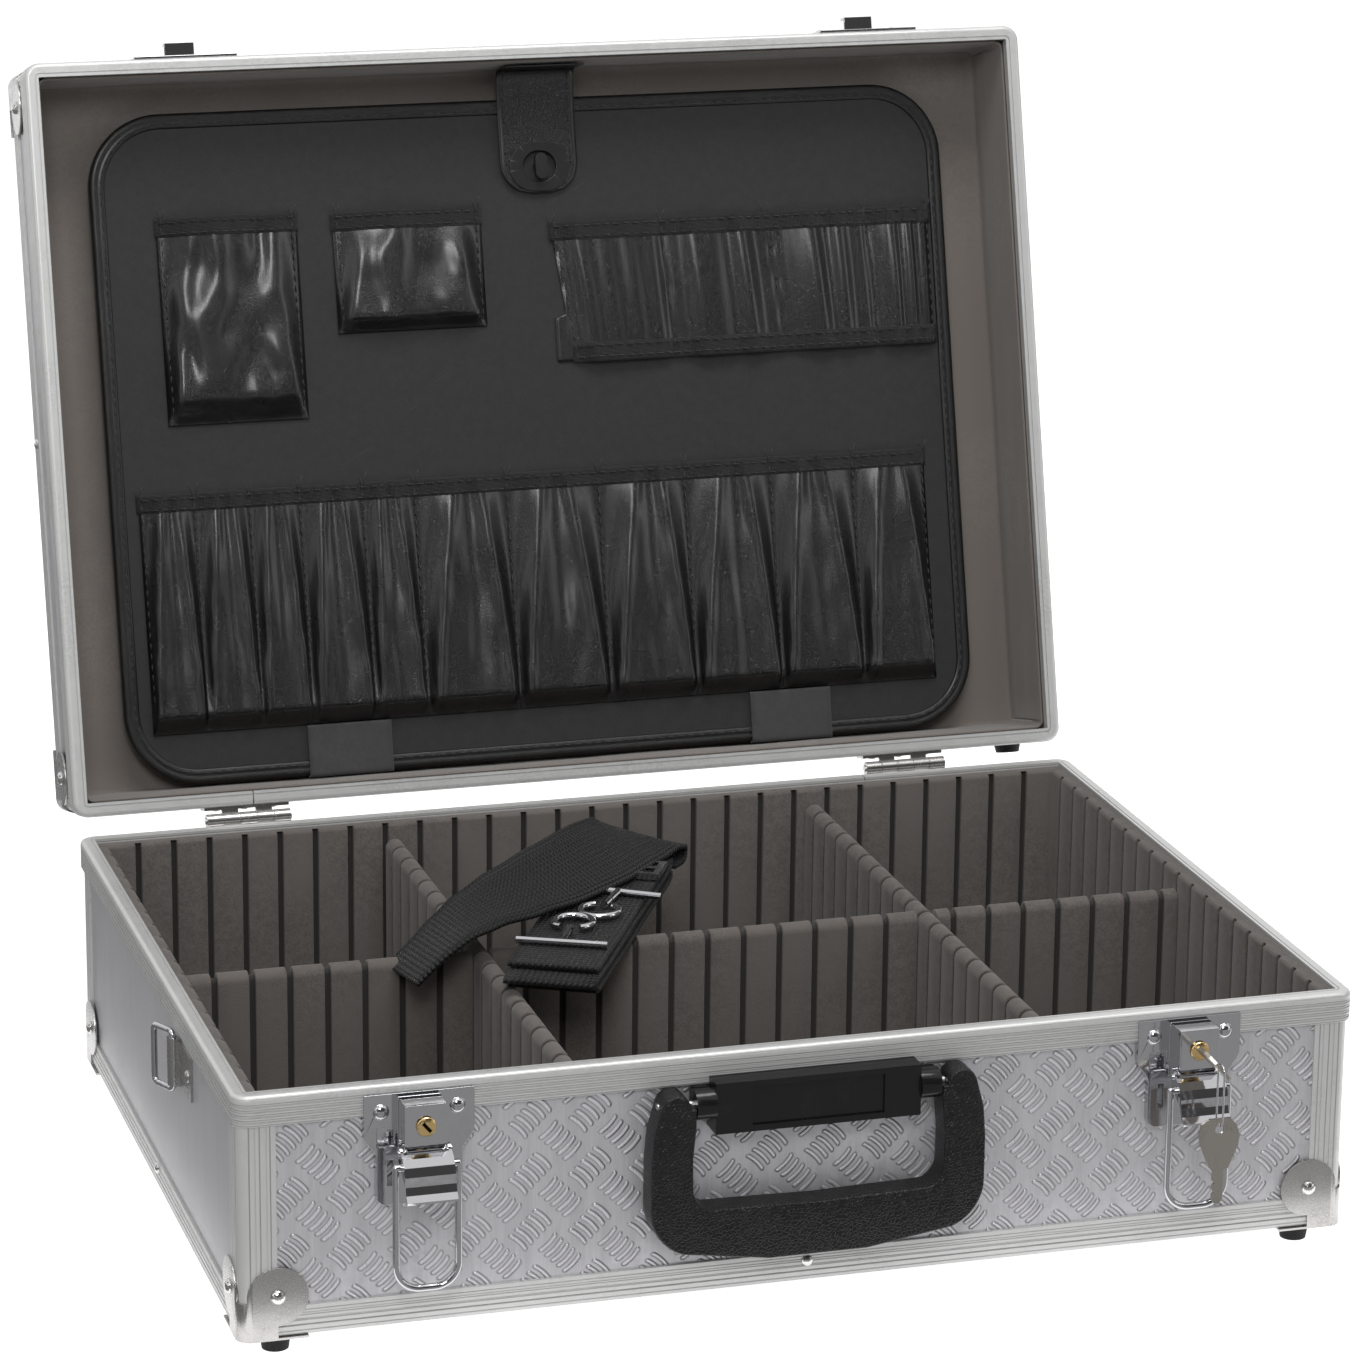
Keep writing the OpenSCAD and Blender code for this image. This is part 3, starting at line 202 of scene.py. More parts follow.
def vectors(tree, operation, a, b=None, scale=None):
    node = new_node(tree, "ShaderNodeVectorMath", operation=operation)
    feed(tree, node.inputs[0], a)
    feed(tree, node.inputs[1], b)
    if scale is not None:
        feed(tree, node.inputs["Scale"], scale)
    return node.outputs[0]


def split(tree, vector):
    node = new_node(tree, "ShaderNodeSeparateXYZ")
    feed(tree, node.inputs[0], vector)
    return node.outputs


def join_xyz(tree, x, y, z):
    node = new_node(tree, "ShaderNodeCombineXYZ")
    for socket, value in zip(node.inputs, (x, y, z)):
        feed(tree, socket, value)
    return node.outputs[0]


def turned(tree, vector, axis, angle, centre=(0, 0, 0)):
    node = new_node(tree, "ShaderNodeVectorRotate", rotation_type=axis)
    feed(tree, node.inputs["Vector"], vector)
    node.inputs["Center"].default_value = centre
    node.inputs["Angle"].default_value = radians(angle)
    return node.outputs[0]


def noise_of(tree, vector, scale, detail=2.0, rough=0.5, distortion=0.0):
    node = new_node(tree, "ShaderNodeTexNoise")
    given = {"Vector": vector, "Scale": scale, "Detail": detail, "Roughness": rough,
             "Distortion": distortion}
    for label, value in given.items():
        feed(tree, node.inputs[label], value)
    return node.outputs["Fac"]


def rgba(colour):
    return colour if isinstance(colour, bpy.types.NodeSocket) else (*colour[:3], 1)


def blend_colour(tree, fac, a, b):
    node = new_node(tree, "ShaderNodeMix", data_type="RGBA")
    feed(tree, node.inputs["Factor"], fac)
    feed(tree, node.inputs[6], rgba(a))
    feed(tree, node.inputs[7], rgba(b))
    return node.outputs[2]


def tinted(colour, factor):
    return tuple(min(1.0, part * factor) for part in colour)


def new_group(name, inputs, outputs):
    group = bpy.data.node_groups.new(name, "ShaderNodeTree")
    for label, kind, default in inputs:
        socket = group.interface.new_socket(label, in_out="INPUT", socket_type=kind)
        if default is not None:
            socket.default_value = default
    for label, kind in outputs:
        group.interface.new_socket(label, in_out="OUTPUT", socket_type=kind)
    start = group.nodes.new("NodeGroupInput")
    end = group.nodes.new("NodeGroupOutput")
    return group, start.outputs, end.inputs


def use_group(tree, group, **values):
    node = new_node(tree, "ShaderNodeGroup", node_tree=group)
    for label, value in values.items():
        feed(tree, node.inputs[label], value)
    return node.outputs


VEC, NUM = "NodeSocketVector", "NodeSocketFloat"


# ---- Shared effects ----

def grain_group():
    """Fine irregular grain, with its own height and mask"""
    tree, given, out = new_group(
        "Fine grain", [("Vector", VEC, None), ("Scale", NUM, 900.0), ("Depth", NUM, 1.0)],
        [("Height", NUM), ("Mask", NUM)])
    fine = noise_of(tree, given["Vector"], given["Scale"], 3.0, 0.6)
    coarse = noise_of(tree, given["Vector"], times(tree, given["Scale"], 0.22), 2.0)
    mixed = plus(tree, times(tree, fine, 0.65), times(tree, coarse, 0.35))
    feed(tree, out["Height"], times(tree, mixed, given["Depth"]))
    feed(tree, out["Mask"], ramp(tree, mixed, 0.38, 0.62))
    return tree


def streak_group():
    """Long scratches and rolling marks along one axis"""
    tree, given, out = new_group(
        "Long streaks", [("Vector", VEC, None), ("Stretch", VEC, (1, 1, 1)), ("Scale", NUM, 60.0)],
        [("Mask", NUM), ("Height", NUM)])
    drawn = vectors(tree, "MULTIPLY", given["Vector"], given["Stretch"])
    broad = noise_of(tree, drawn, given["Scale"], 2.0)
    fine = noise_of(tree, drawn, times(tree, given["Scale"], 7.0), 3.0, 0.6)
    both = plus(tree, times(tree, broad, 0.5), times(tree, fine, 0.5))
    feed(tree, out["Mask"], ramp(tree, both, 0.36, 0.64))
    feed(tree, out["Height"], fine)
    return tree


def scuff_group():
    """Patches of handling wear, dust and fingerprints"""
    tree, given, out = new_group(
        "Scuffs", [("Vector", VEC, None), ("Scale", NUM, 18.0), ("Amount", NUM, 0.5)],
        [("Mask", NUM)])
    patches = noise_of(tree, given["Vector"], given["Scale"], 4.0, 0.62, 0.6)
    specks = noise_of(tree, given["Vector"], times(tree, given["Scale"], 24.0), 1.0)
    mask = times(tree, ramp(tree, patches, 0.45, 0.72), ramp(tree, specks, 0.35, 0.6))
    feed(tree, out["Mask"], times(tree, mask, given["Amount"]))
    return tree


def groove_group():
    """Fine parallel grooves of an extruded bar, across one coordinate"""
    tree, given, out = new_group(
        "Extruded grooves", [("Across", NUM, 0.0), ("Pitch", NUM, 0.0021), ("Width", NUM, 0.3)],
        [("Height", NUM), ("Mask", NUM)])
    turn = sums(tree, "FRACT", sums(tree, "DIVIDE", given["Across"], given["Pitch"]))
    off = sums(tree, "ABSOLUTE", minus(tree, turn, 0.5))
    wall = times(tree, given["Width"], 0.5)
    mask = ramp(tree, off, times(tree, wall, 0.6), wall, 1.0, 0.0)
    feed(tree, out["Mask"], mask)
    feed(tree, out["Height"], minus(tree, 1.0, mask))
    return tree


# Tread ribs in metres: pitch and start of the pattern, gap between ribs, their bow and half length
TREAD_PITCH = (0.0240, 0.0234)
TREAD_START = (0.0047, 0.0024)
RIB_GAP = 0.0034
RIB_BOW = 30.0
HALF_RIB = 0.43
SIDE_RIBS = 2.0


def rib_set(tree, x, z, shift, turn, rib):
    """How far a place is from the nearest of five stacked ribs, in one of the two sets"""
    places = []
    for part, pitch in zip((x, z), TREAD_PITCH):
        turns = new_node(tree, "ShaderNodeMath", operation="WRAP")
        for socket, value in zip(turns.inputs, (plus(tree, part, shift * pitch), pitch, 0.0)):
            feed(tree, socket, value)
        places.append(minus(tree, turns.outputs[0], pitch / 2))
    one, two = (minus, plus) if turn > 0 else (plus, minus)
    along = times(tree, one(tree, *places), sqrt(0.5))
    stack = times(tree, two(tree, *places), sqrt(0.5))
    stack = plus(tree, stack, times(tree, times(tree, along, along), RIB_BOW))
    nearest = sums(tree, "ROUND", sums(tree, "DIVIDE", stack, RIB_GAP))
    nearest = sums(tree, "MINIMUM", sums(tree, "MAXIMUM", nearest, -SIDE_RIBS), SIDE_RIBS)
    across = minus(tree, stack, times(tree, nearest, RIB_GAP))
    past = minus(tree, sums(tree, "ABSOLUTE", along), times(tree, rib, HALF_RIB))
    past = sums(tree, "MAXIMUM", past, 0.0)
    return sums(tree, "SQRT", plus(tree, times(tree, across, across), times(tree, past, past)))


def tread_group():
    """Raised ribs of the tread plate, in groups of five that cross one another, with a ring of painted
    shade at each rib's foot
    """
    tree, given, out = new_group(
        "Tread ribs", [("Vector", VEC, None), ("Rib", NUM, 0.0092)],
        [("Height", NUM), ("Mask", NUM), ("Painted foot shade", NUM)])
    x, _, z = split(tree, given["Vector"])
    x, z = plus(tree, x, TREAD_START[0]), plus(tree, z, TREAD_START[1])
    near = sums(tree, "MINIMUM", rib_set(tree, x, z, 0.0, 1, given["Rib"]),
                rib_set(tree, x, z, 0.5, -1, given["Rib"]))
    top = ramp(tree, near, 0.0003, 0.0011, 1.0, 0.0)
    # A thin ring round each rib, painted as shade where the rib meets the sheet
    foot = times(tree, ramp(tree, near, 0.0006, 0.0010), ramp(tree, near, 0.0010, 0.0015, 1.0, 0.0))
    feed(tree, out["Height"], top)
    feed(tree, out["Mask"], top)
    feed(tree, out["Painted foot shade"], foot)
    return tree


def leather_group():
    """Pebbled leather grain"""
    tree, given, out = new_group(
        "Leather grain", [("Vector", VEC, None), ("Scale", NUM, 1300.0)],
        [("Height", NUM), ("Mask", NUM)])
    wobble = noise_of(tree, given["Vector"], times(tree, given["Scale"], 0.4), 2.0)
    moved = vectors(tree, "ADD", given["Vector"], vectors(
        tree, "SCALE", join_xyz(tree, wobble, wobble, wobble), scale=0.0006))
    cells = new_node(tree, "ShaderNodeTexVoronoi", feature="DISTANCE_TO_EDGE")
    feed(tree, cells.inputs["Vector"], moved)
    feed(tree, cells.inputs["Scale"], given["Scale"])
    pebble = ramp(tree, cells.outputs["Distance"], 0.0, 0.22)
    feed(tree, out["Height"], pebble)
    feed(tree, out["Mask"], pebble)
    return tree


def weave_group():
    """Plain weave of threads on a UV map laid out in metres"""
    tree, given, out = new_group(
        "Thread weave", [("Vector", VEC, None), ("Thread", NUM, 0.0012), ("Slant", NUM, 1.0)],
        [("Height", NUM), ("Mask", NUM)])
    x, y, _ = split(tree, given["Vector"])
    u = sums(tree, "DIVIDE", x, given["Thread"])
    v = sums(tree, "DIVIDE", y, given["Thread"])
    row = sums(tree, "MODULO", sums(tree, "FLOOR", v), 2.0)
    u = plus(tree, u, times(tree, row, 0.5))
    u = plus(tree, u, times(tree, times(tree, v, given["Slant"]), 0.5))
    hump_u = sums(tree, "SINE", times(tree, sums(tree, "FRACT", u), pi))
    hump_v = sums(tree, "SINE", times(tree, sums(tree, "FRACT", v), pi))
    high = times(tree, sums(tree, "POWER", hump_u, 0.6), sums(tree, "POWER", hump_v, 0.6))
    feed(tree, out["Height"], high)
    feed(tree, out["Mask"], high)
    return tree


@cache
def group(name):
    """The shared effect of that name, made once"""
    makers = {"grain": grain_group, "streaks": streak_group, "scuffs": scuff_group,
              "grooves": groove_group, "tread": tread_group, "leather": leather_group,
              "weave": weave_group}
    return makers[name]()


# ---- Materials ----

class Finish:
    """A material in the making: its tree, shader and coordinates in the closed lid's frame"""

    def __init__(self, name, lid=False, uv=False):
        self.material = bpy.data.materials.new(name)
        self.material.use_nodes = True
        self.tree = self.material.node_tree
        self.tree.nodes.clear()
        self.shader = new_node(self.tree, "ShaderNodeBsdfPrincipled")
        out = new_node(self.tree, "ShaderNodeOutputMaterial")
        self.tree.links.new(self.shader.outputs[0], out.inputs["Surface"])
        where = new_node(self.tree, "ShaderNodeTexCoord")
        self.at = where.outputs["UV" if uv else "Object"]
        if lid:
            self.at = turned(self.tree, self.at, "X_AXIS", LID_OPEN, (0, HINGE_Y * MM, HINGE_Z * MM))

    def effect(self, name, **values):
        return use_group(self.tree, group(name), Vector=self.at, **values)

    def set(self, **values):
        names = {"colour": "Base Color", "rough": "Roughness", "metal": "Metallic",
                 "coat": "Coat Weight", "coat_rough": "Coat Roughness", "sheen": "Sheen Weight",
                 "sheen_rough": "Sheen Roughness", "specular": "Specular IOR Level"}
        for key, value in values.items():
            feed(self.tree, self.shader.inputs[names[key]], value)
        return self

    def bump(self, *layers):
        """Each layer is (height, strength, distance in metres); they pile up in order"""
        normal = None
        for height, strength, distance in layers:
            node = new_node(self.tree, "ShaderNodeBump")
            node.inputs["Strength"].default_value = strength
            node.inputs["Distance"].default_value = distance
            feed(self.tree, node.inputs["Height"], height)
            if normal is not None:
                self.tree.links.new(normal, node.inputs["Normal"])
            normal = node.outputs[0]
        self.tree.links.new(normal, self.shader.inputs["Normal"])
        return self


def sheet_metal(name, colour, lid=False, rib=None):
    """Satin sheet of a wall, plain or with raised tread ribs whose tops carry a painted highlight and whose
    feet carry painted shade
    """
    make = Finish(name, lid)
    tree = make.tree
    streaks = make.effect("streaks", Stretch=(6.0, 6.0, 0.35), Scale=30.0)
    scuffs = make.effect("scuffs", Scale=16.0, Amount=0.5)
    grain = make.effect("grain", Scale=1500.0)
    paint = blend_colour(tree, streaks["Mask"], tinted(colour, 0.92), tinted(colour, 1.06))
    paint = blend_colour(tree, scuffs["Mask"], paint, tinted(colour, 1.22))
    rough = plus(tree, 0.34, times(tree, streaks["Mask"], 0.07))
    rough = plus(tree, rough, times(tree, scuffs["Mask"], 0.12))
    layers = [(grain["Height"], 0.12, 0.0002), (streaks["Height"], 0.05, 0.0003)]
    if rib:
        ribs = make.effect("tread", Rib=rib)
        # Painted highlight: the rib tops are painted lighter than the sheet
        paint = blend_colour(tree, ribs["Mask"], paint, tinted(colour, 1.3))
        # Painted shade: a dark ring is painted round each rib's foot
        paint = blend_colour(tree, times(tree, ribs["Painted foot shade"], 0.6), paint, tinted(colour, 0.45))
        rough = minus(tree, rough, times(tree, ribs["Mask"], 0.08))
        layers.append((ribs["Height"], 1.0, 0.0011))
    make.set(colour=paint, rough=rough, metal=0.4)
    make.bump(*layers)
    return make.material


def extruded_profile(name, colour, lid=False, post=False):
    """Pale anodised bar with fine grooves along it, painted shade in the grooves on its walls, and a few
    dark marks
    """
    make = Finish(name, lid)
    tree = make.tree
    x, y, z = split(tree, make.at)
    across = plus(tree, sums(tree, "ABSOLUTE", x), sums(tree, "ABSOLUTE", y)) if post else z
    pitch = 0.0041 if post else 0.0021
    grooves = use_group(tree, group("grooves"), Across=across, Pitch=pitch, Width=0.13 if post else 0.24)
    normal = new_node(tree, "ShaderNodeNewGeometry").outputs["Normal"]
    if lid:
        normal = turned(tree, normal, "X_AXIS", LID_OPEN)
    upright = sums(tree, "ABSOLUTE", split(tree, normal)[2])
    walls = ramp(tree, upright, 0.2, 0.5, 1.0, 0.0)
    cut = times(tree, grooves["Mask"], walls)
    scuffs = make.effect("scuffs", Scale=26.0, Amount=0.6)
    grain = make.effect("grain", Scale=1100.0)
    # Painted shade: the grooves on the walls are painted darker
    paint = blend_colour(tree, cut, colour, tinted(colour, 0.55))
    paint = blend_colour(tree, scuffs["Mask"], paint, tinted(colour, 0.8))
    rough = plus(tree, 0.36, times(tree, grain["Mask"], 0.1))
    make.set(colour=paint, rough=rough, metal=0.4)
    make.bump((grain["Height"], 0.1, 0.0002),
              (minus(tree, 1.0, cut), 0.8, 0.0003))
    return make.material


def bright_metal(name, colour, rough, wear=0.25, brushed=0.0, metal=1.0):
    """Plated or polished metal: chrome, brass, nickel or steel"""
    make = Finish(name)
    tree = make.tree
    scuffs = make.effect("scuffs", Scale=60.0, Amount=1.0)
    waves = noise_of(tree, make.at, 90.0, 2.0)
    paint = blend_colour(tree, times(tree, scuffs["Mask"], wear), colour, tinted(colour, 0.6))
    lustre = plus(tree, rough, times(tree, scuffs["Mask"], 0.22 * wear + 0.04))
    make.set(colour=paint, rough=lustre, metal=metal)
    layers = [(waves, 0.12, 0.0006)]
    if brushed:
        lines = make.effect("streaks", Stretch=(0.4, 4.0, 4.0), Scale=160.0)
        layers.append((lines["Height"], brushed, 0.0002))
    else:
        grain = make.effect("grain", Scale=1600.0)
        layers.append((grain["Height"], 0.05, 0.0001))
    make.bump(*layers)
    return make.material


def foam_finish(name, colour):
    """Grey-brown foam with fine grain and painted shade down in its grooves"""
    make = Finish(name)
    tree = make.tree
    grain = make.effect("grain", Scale=1150.0)
    patches = noise_of(tree, make.at, 14.0, 3.0)
    paint = blend_colour(tree, grain["Mask"], tinted(colour, 0.84), tinted(colour, 1.16))
    paint = blend_colour(tree, ramp(tree, patches, 0.4, 0.65), paint, tinted(colour, 1.1))
    # The points marked deep are the grooves' floors, darkened below as painted shade
    groove_shade = new_node(tree, "ShaderNodeAttribute", attribute_name="deep").outputs["Fac"]
    paint = blend_colour(tree, ramp(tree, groove_shade, 0.15, 0.85), paint, tinted(colour, 0.28))
    make.set(colour=paint, rough=0.86, sheen=0.15, sheen_rough=0.5, specular=0.3)
    make.bump((grain["Height"], 0.5, 0.0005), (patches, 0.3, 0.002))
    return make.material


CLOTH_THREAD = 0.0006


def cloth_finish(name, colour):
    """Close-woven cloth of the lid and the pallet's tabs"""
    make = Finish(name, lid=True)
    tree = make.tree
    x, y, z = split(tree, make.at)
    lines = [sums(tree, "SINE", times(tree, part, 2 * pi / CLOTH_THREAD)) for part in (x, y, z)]
    weave = plus(tree, times(tree, lines[0], lines[1]), lines[2])
    grain = make.effect("grain", Scale=700.0)
    shade = noise_of(tree, make.at, 9.0, 3.0)
    paint = blend_colour(tree, grain["Mask"], tinted(colour, 0.92), tinted(colour, 1.07))
    paint = blend_colour(tree, ramp(tree, shade, 0.38, 0.68), tinted(colour, 0.9), paint)
    make.set(colour=paint, rough=0.9, sheen=0.25, sheen_rough=0.4, specular=0.25)
    make.bump((weave, 0.15, 0.0001), (grain["Height"], 0.3, 0.0003))
    return make.material


def leather_finish(name, colour, scale, rough, coat):
    """Grained black leatherette with a soft shine"""
    make = Finish(name, lid=True)
    tree = make.tree
    pebbles = make.effect("leather", Scale=scale)
    wear = make.effect("scuffs", Scale=30.0, Amount=0.7)
    tone = noise_of(tree, make.at, 40.0, 3.0)
    paint = blend_colour(tree, pebbles["Mask"], tinted(colour, 0.55), colour)
    paint = blend_colour(tree, wear["Mask"], paint, tinted(colour, 2.2))
    sheen = plus(tree, rough, times(tree, tone, 0.16))
    make.set(colour=paint, rough=sheen, coat=coat, coat_rough=0.24, specular=0.4)
    make.bump((tone, 0.12, 0.001), (pebbles["Height"], 0.4, 0.0002))
    return make.material


def board_finish(name, colour):
    """Matte black board with hairline scratches"""
    make = Finish(name, lid=True)
    tree = make.tree
    grain = make.effect("grain", Scale=1300.0)
    drawn = vectors(tree, "MULTIPLY", turned(tree, make.at, "Z_AXIS", 28), (0.05, 1.6, 1.0))
    marks = noise_of(tree, drawn, 150.0, 4.0, 0.7, 1.2)
    scratch = times(tree, ramp(tree, marks, 0.66, 0.72), ramp(
        tree, noise_of(tree, make.at, 30.0, 2.0), 0.5, 0.62))
    paint = blend_colour(tree, grain["Mask"], tinted(colour, 0.85), tinted(colour, 1.15))
    paint = blend_colour(tree, scratch, paint, tinted(colour, 2.3))
    make.set(colour=paint, rough=0.6, specular=0.35)
    make.bump((grain["Height"], 0.28, 0.00025))
    return make.material


def plastic_finish(name, colour, rough, scale, grain_depth=0.25):
    """Moulded black plastic with a leather-like grain"""
    make = Finish(name)
    tree = make.tree
    pebbles = make.effect("leather", Scale=scale)
    wear = make.effect("scuffs", Scale=45.0, Amount=0.5)
    paint = blend_colour(tree, wear["Mask"], colour, tinted(colour, 2.0))
    lustre = plus(tree, rough, times(tree, wear["Mask"], 0.15))
    make.set(colour=paint, rough=lustre, specular=0.3)
    make.bump((pebbles["Height"], grain_depth, 0.0003))
    return make.material


def woven_finish(name, colour, thread):
    """Webbing or tape whose threads follow its own UV map"""
    make = Finish(name, uv=True)
    tree = make.tree
    weave = make.effect("weave", Thread=thread, Slant=1.0)
    paint = blend_colour(tree, weave["Mask"], tinted(colour, 0.4), tinted(colour, 1.7))
    make.set(colour=paint, rough=0.5, sheen=0.06, sheen_rough=0.4, specular=0.3)
    make.bump((weave["Height"], 0.9, thread * 0.5))
    return make.material


def thread_finish(name, colour):
    """Twisted sewing thread"""
    make = Finish(name, lid=True)
    tree = make.tree
    x, y, z = split(tree, make.at)
    twist = sums(tree, "SINE", times(tree, plus(tree, plus(tree, x, y), z), 9000.0))
    paint = blend_colour(tree, ramp(tree, twist, -1.0, 1.0), tinted(colour, 0.6), tinted(colour, 1.3))
    make.set(colour=paint, rough=0.55, sheen=0.2)
    make.bump((twist, 0.3, 0.0001))
    return make.material


@cache
def finish(name):
    """The finish of that name, made once"""
    look = bpy.context.scene.tool_case_finish
    sizes = bpy.context.scene.tool_case_sizes
    makers = {
        "plain_sheet": lambda name: sheet_metal(name, look.sheet),
        "plain_sheet_lid": lambda name: sheet_metal(name, look.sheet, lid=True),
        # Painted light: the tread panels' sheet is made 1.14 times lighter than the plain panels, to
        # brighten the front panel
        "tread_sheet": lambda name: sheet_metal(name, tinted(look.sheet, 1.14), rib=sizes.rib),
        "profile": lambda name: extruded_profile(name, look.profile),
        "profile_lid": lambda name: extruded_profile(name, look.profile, lid=True),
        "post": lambda name: extruded_profile(name, look.profile, post=True),
        "post_lid": lambda name: extruded_profile(name, look.profile, lid=True, post=True),
        "cap_steel": lambda name: bright_metal(name, (0.46, 0.45, 0.445), 0.27, wear=0.5, brushed=0.15),
        "rivet_steel": lambda name: bright_metal(name, (0.62, 0.61, 0.60), 0.16),
        "chrome": lambda name: bright_metal(name, (0.52, 0.52, 0.535), 0.08),
        "hinge_steel": lambda name: bright_metal(name, (0.45, 0.44, 0.43), 0.22, wear=0.4),
        "brass": lambda name: bright_metal(name, (0.78, 0.56, 0.26), 0.2),
        "key_nickel": lambda name: bright_metal(name, (0.45, 0.42, 0.38), 0.28, wear=0.6),
        "eyelet_black": lambda name: bright_metal(name, (0.055, 0.052, 0.055), 0.34, metal=0.8),
        "rubber": lambda name: plastic_finish(name, (0.012, 0.012, 0.012), 0.62, 1500.0),
        "handle_grain": lambda name: plastic_finish(name, (0.007, 0.007, 0.007), 0.3, 700.0, 0.55),
        "bracket_gloss": lambda name: plastic_finish(name, (0.007, 0.007, 0.007), 0.17, 1300.0, 0.06),
        "foam": lambda name: foam_finish("ribbed_foam", look.foam),
        "lid_cloth": lambda name: cloth_finish(name, look.cloth),
        "tab_cloth": lambda name: cloth_finish(name, (0.062, 0.060, 0.062)),
        "pocket_leather": lambda name: leather_finish(name, look.leather, 1150.0, 0.2, 0.6),
        "binding_leather": lambda name: leather_finish(name, look.leather, 1500.0, 0.3, 0.3),
        "strap_leather": lambda name: leather_finish(name, look.leather, 1400.0, 0.24, 0.4),
        "board": lambda name: board_finish("pallet_face", look.board),
        "webbing": lambda name: woven_finish(name, look.webbing, 0.0024),
        "tape": lambda name: woven_finish(name, (0.017, 0.016, 0.017), 0.0006),
        "thread": lambda name: thread_finish(name, (0.012, 0.011, 0.012)),
    }
    return makers[name](name)


# ---- Mesh helpers, in millimetres ----

def add_piece(bm, name, material, body, place=None, sharp=35.0, recalc=False):
    """Turns a bmesh in millimetres into a piece at the origin, in metres"""
    if place is not None:
        bm.transform(place)
        if place.determinant() < 0:
            bmesh.ops.reverse_faces(bm, faces=bm.faces)
    bm.transform(Matrix.Scale(MM, 4))
    if recalc:
        bmesh.ops.recalc_face_normals(bm, faces=bm.faces)
    mesh = bpy.data.meshes.new(name)
    bm.to_mesh(mesh)
    bm.free()
    mesh.materials.append(material)
    for face in mesh.polygons:
        face.use_smooth = True
    mesh.set_sharp_from_angle(angle=radians(sharp))
    obj = bpy.data.objects.new(name, mesh)
    bpy.context.collection.objects.link(obj)
    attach(obj, body)
    return obj


def add_thickness(obj, thick, offset=-1.0):
    wall = obj.modifiers.new("wall", "SOLIDIFY")
    wall.thickness = thick * MM
    wall.offset = offset


SHARP_EDGE = 32


def add_round(obj, width, segments):
    edge = obj.modifiers.new("edge", "BEVEL")
    edge.width = width * MM
    edge.segments = segments
    edge.limit_method = "ANGLE"
    edge.angle_limit = radians(SHARP_EDGE)
    edge.harden_normals = True


def box(bm, size, centre):
    made = bmesh.ops.create_cube(bm, size=1.0)
    bmesh.ops.scale(bm, vec=size, verts=made["verts"])
    bmesh.ops.translate(bm, vec=centre, verts=made["verts"])
    return made["verts"]


def round_edges(bm, edges, width, segments):
    bmesh.ops.bevel(bm, geom=edges, offset=width, segments=segments, profile=0.5,
                    affect="EDGES", material=-1, clamp_overlap=True)


def of_kind(items, kind):
    """The points, edges or faces among what an operator gives back"""
    return [item for item in items if isinstance(item, kind)]


def cut_across(bm, places, axis=0):
    for place in places:
        point, normal = Vector((0, 0, 0)), Vector((0, 0, 0))
        point[axis], normal[axis] = place, 1.0
        geom = bm.verts[:] + bm.edges[:] + bm.faces[:]
        bmesh.ops.bisect_plane(bm, geom=geom, dist=0.0001, plane_co=point, plane_no=normal)


def push_in(bm, faces, move):
    """Extrudes a group of faces, moves the new points by move(place) and marks them as deep, where the foam
    paints shade
    """
    deep = bm.verts.layers.float["deep"]
    out = bmesh.ops.extrude_face_region(bm, geom=faces)
    for vert in of_kind(out["geom"], bmesh.types.BMVert):
        vert.co += move(vert.co)
        vert[deep] = 1.0
    bmesh.ops.delete(bm, geom=faces, context="FACES")


def groove_places(length):
    count = floor((length / 2 - GROOVE_W) / GROOVE_PITCH)
    return [i * GROOVE_PITCH for i in range(-count, count + 1)]


def in_groove(x, places):
    return any(abs(x - place) < GROOVE_W / 2 - 0.05 for place in places)


def ribbed_strip(bm, length, thick, low, high):
    """Lining along X with its back on y = 0, grooved on the side towards +Y"""
    bm.verts.layers.float.new("deep")
    verts = box(bm, (length, thick, high - low), (0, thick / 2, (low + high) / 2))
    edge = [e for e in bm.edges if e.verts[0] in verts and all(
        v.co.y > thick - 0.01 and v.co.z > high - 0.01 for v in e.verts)]
    round_edges(bm, edge, 1.6, 3)
    places = groove_places(length)
    cut_across(bm, [p + s * GROOVE_W / 2 for p in places for s in (-1, 1)])
    bm.normal_update()
    faces = []
    for face in bm.faces:
        middle = face.calc_center_median()
        if in_groove(middle.x, places) and (face.normal.y > 0.3 or (
                face.normal.z > 0.3 and middle.y > thick - 1.7)):
            faces.append(face)
    push_in(bm, faces, lambda co: Vector((0, -GROOVE_DEEP, -0.8 if co.z > high - 1.7 else 0)))
    bm.normal_update()
    soften_grooves(bm, places, 0.5)


def soften_grooves(bm, places, width):
    edges = []
    for edge in bm.edges:
        if len(edge.link_faces) == 2 and edge.calc_face_angle(0) > radians(55):
            a, b = (v.co for v in edge.verts)
            near = any(abs(abs(a.x - p) - GROOVE_W / 2) < 0.05 and abs(a.x - b.x) < 0.01 for p in places)
            outer = any(abs(face.normal.x) < 0.5 for face in edge.link_faces)
            if near and outer:
                edges.append(edge)
    round_edges(bm, edges, width, 2)


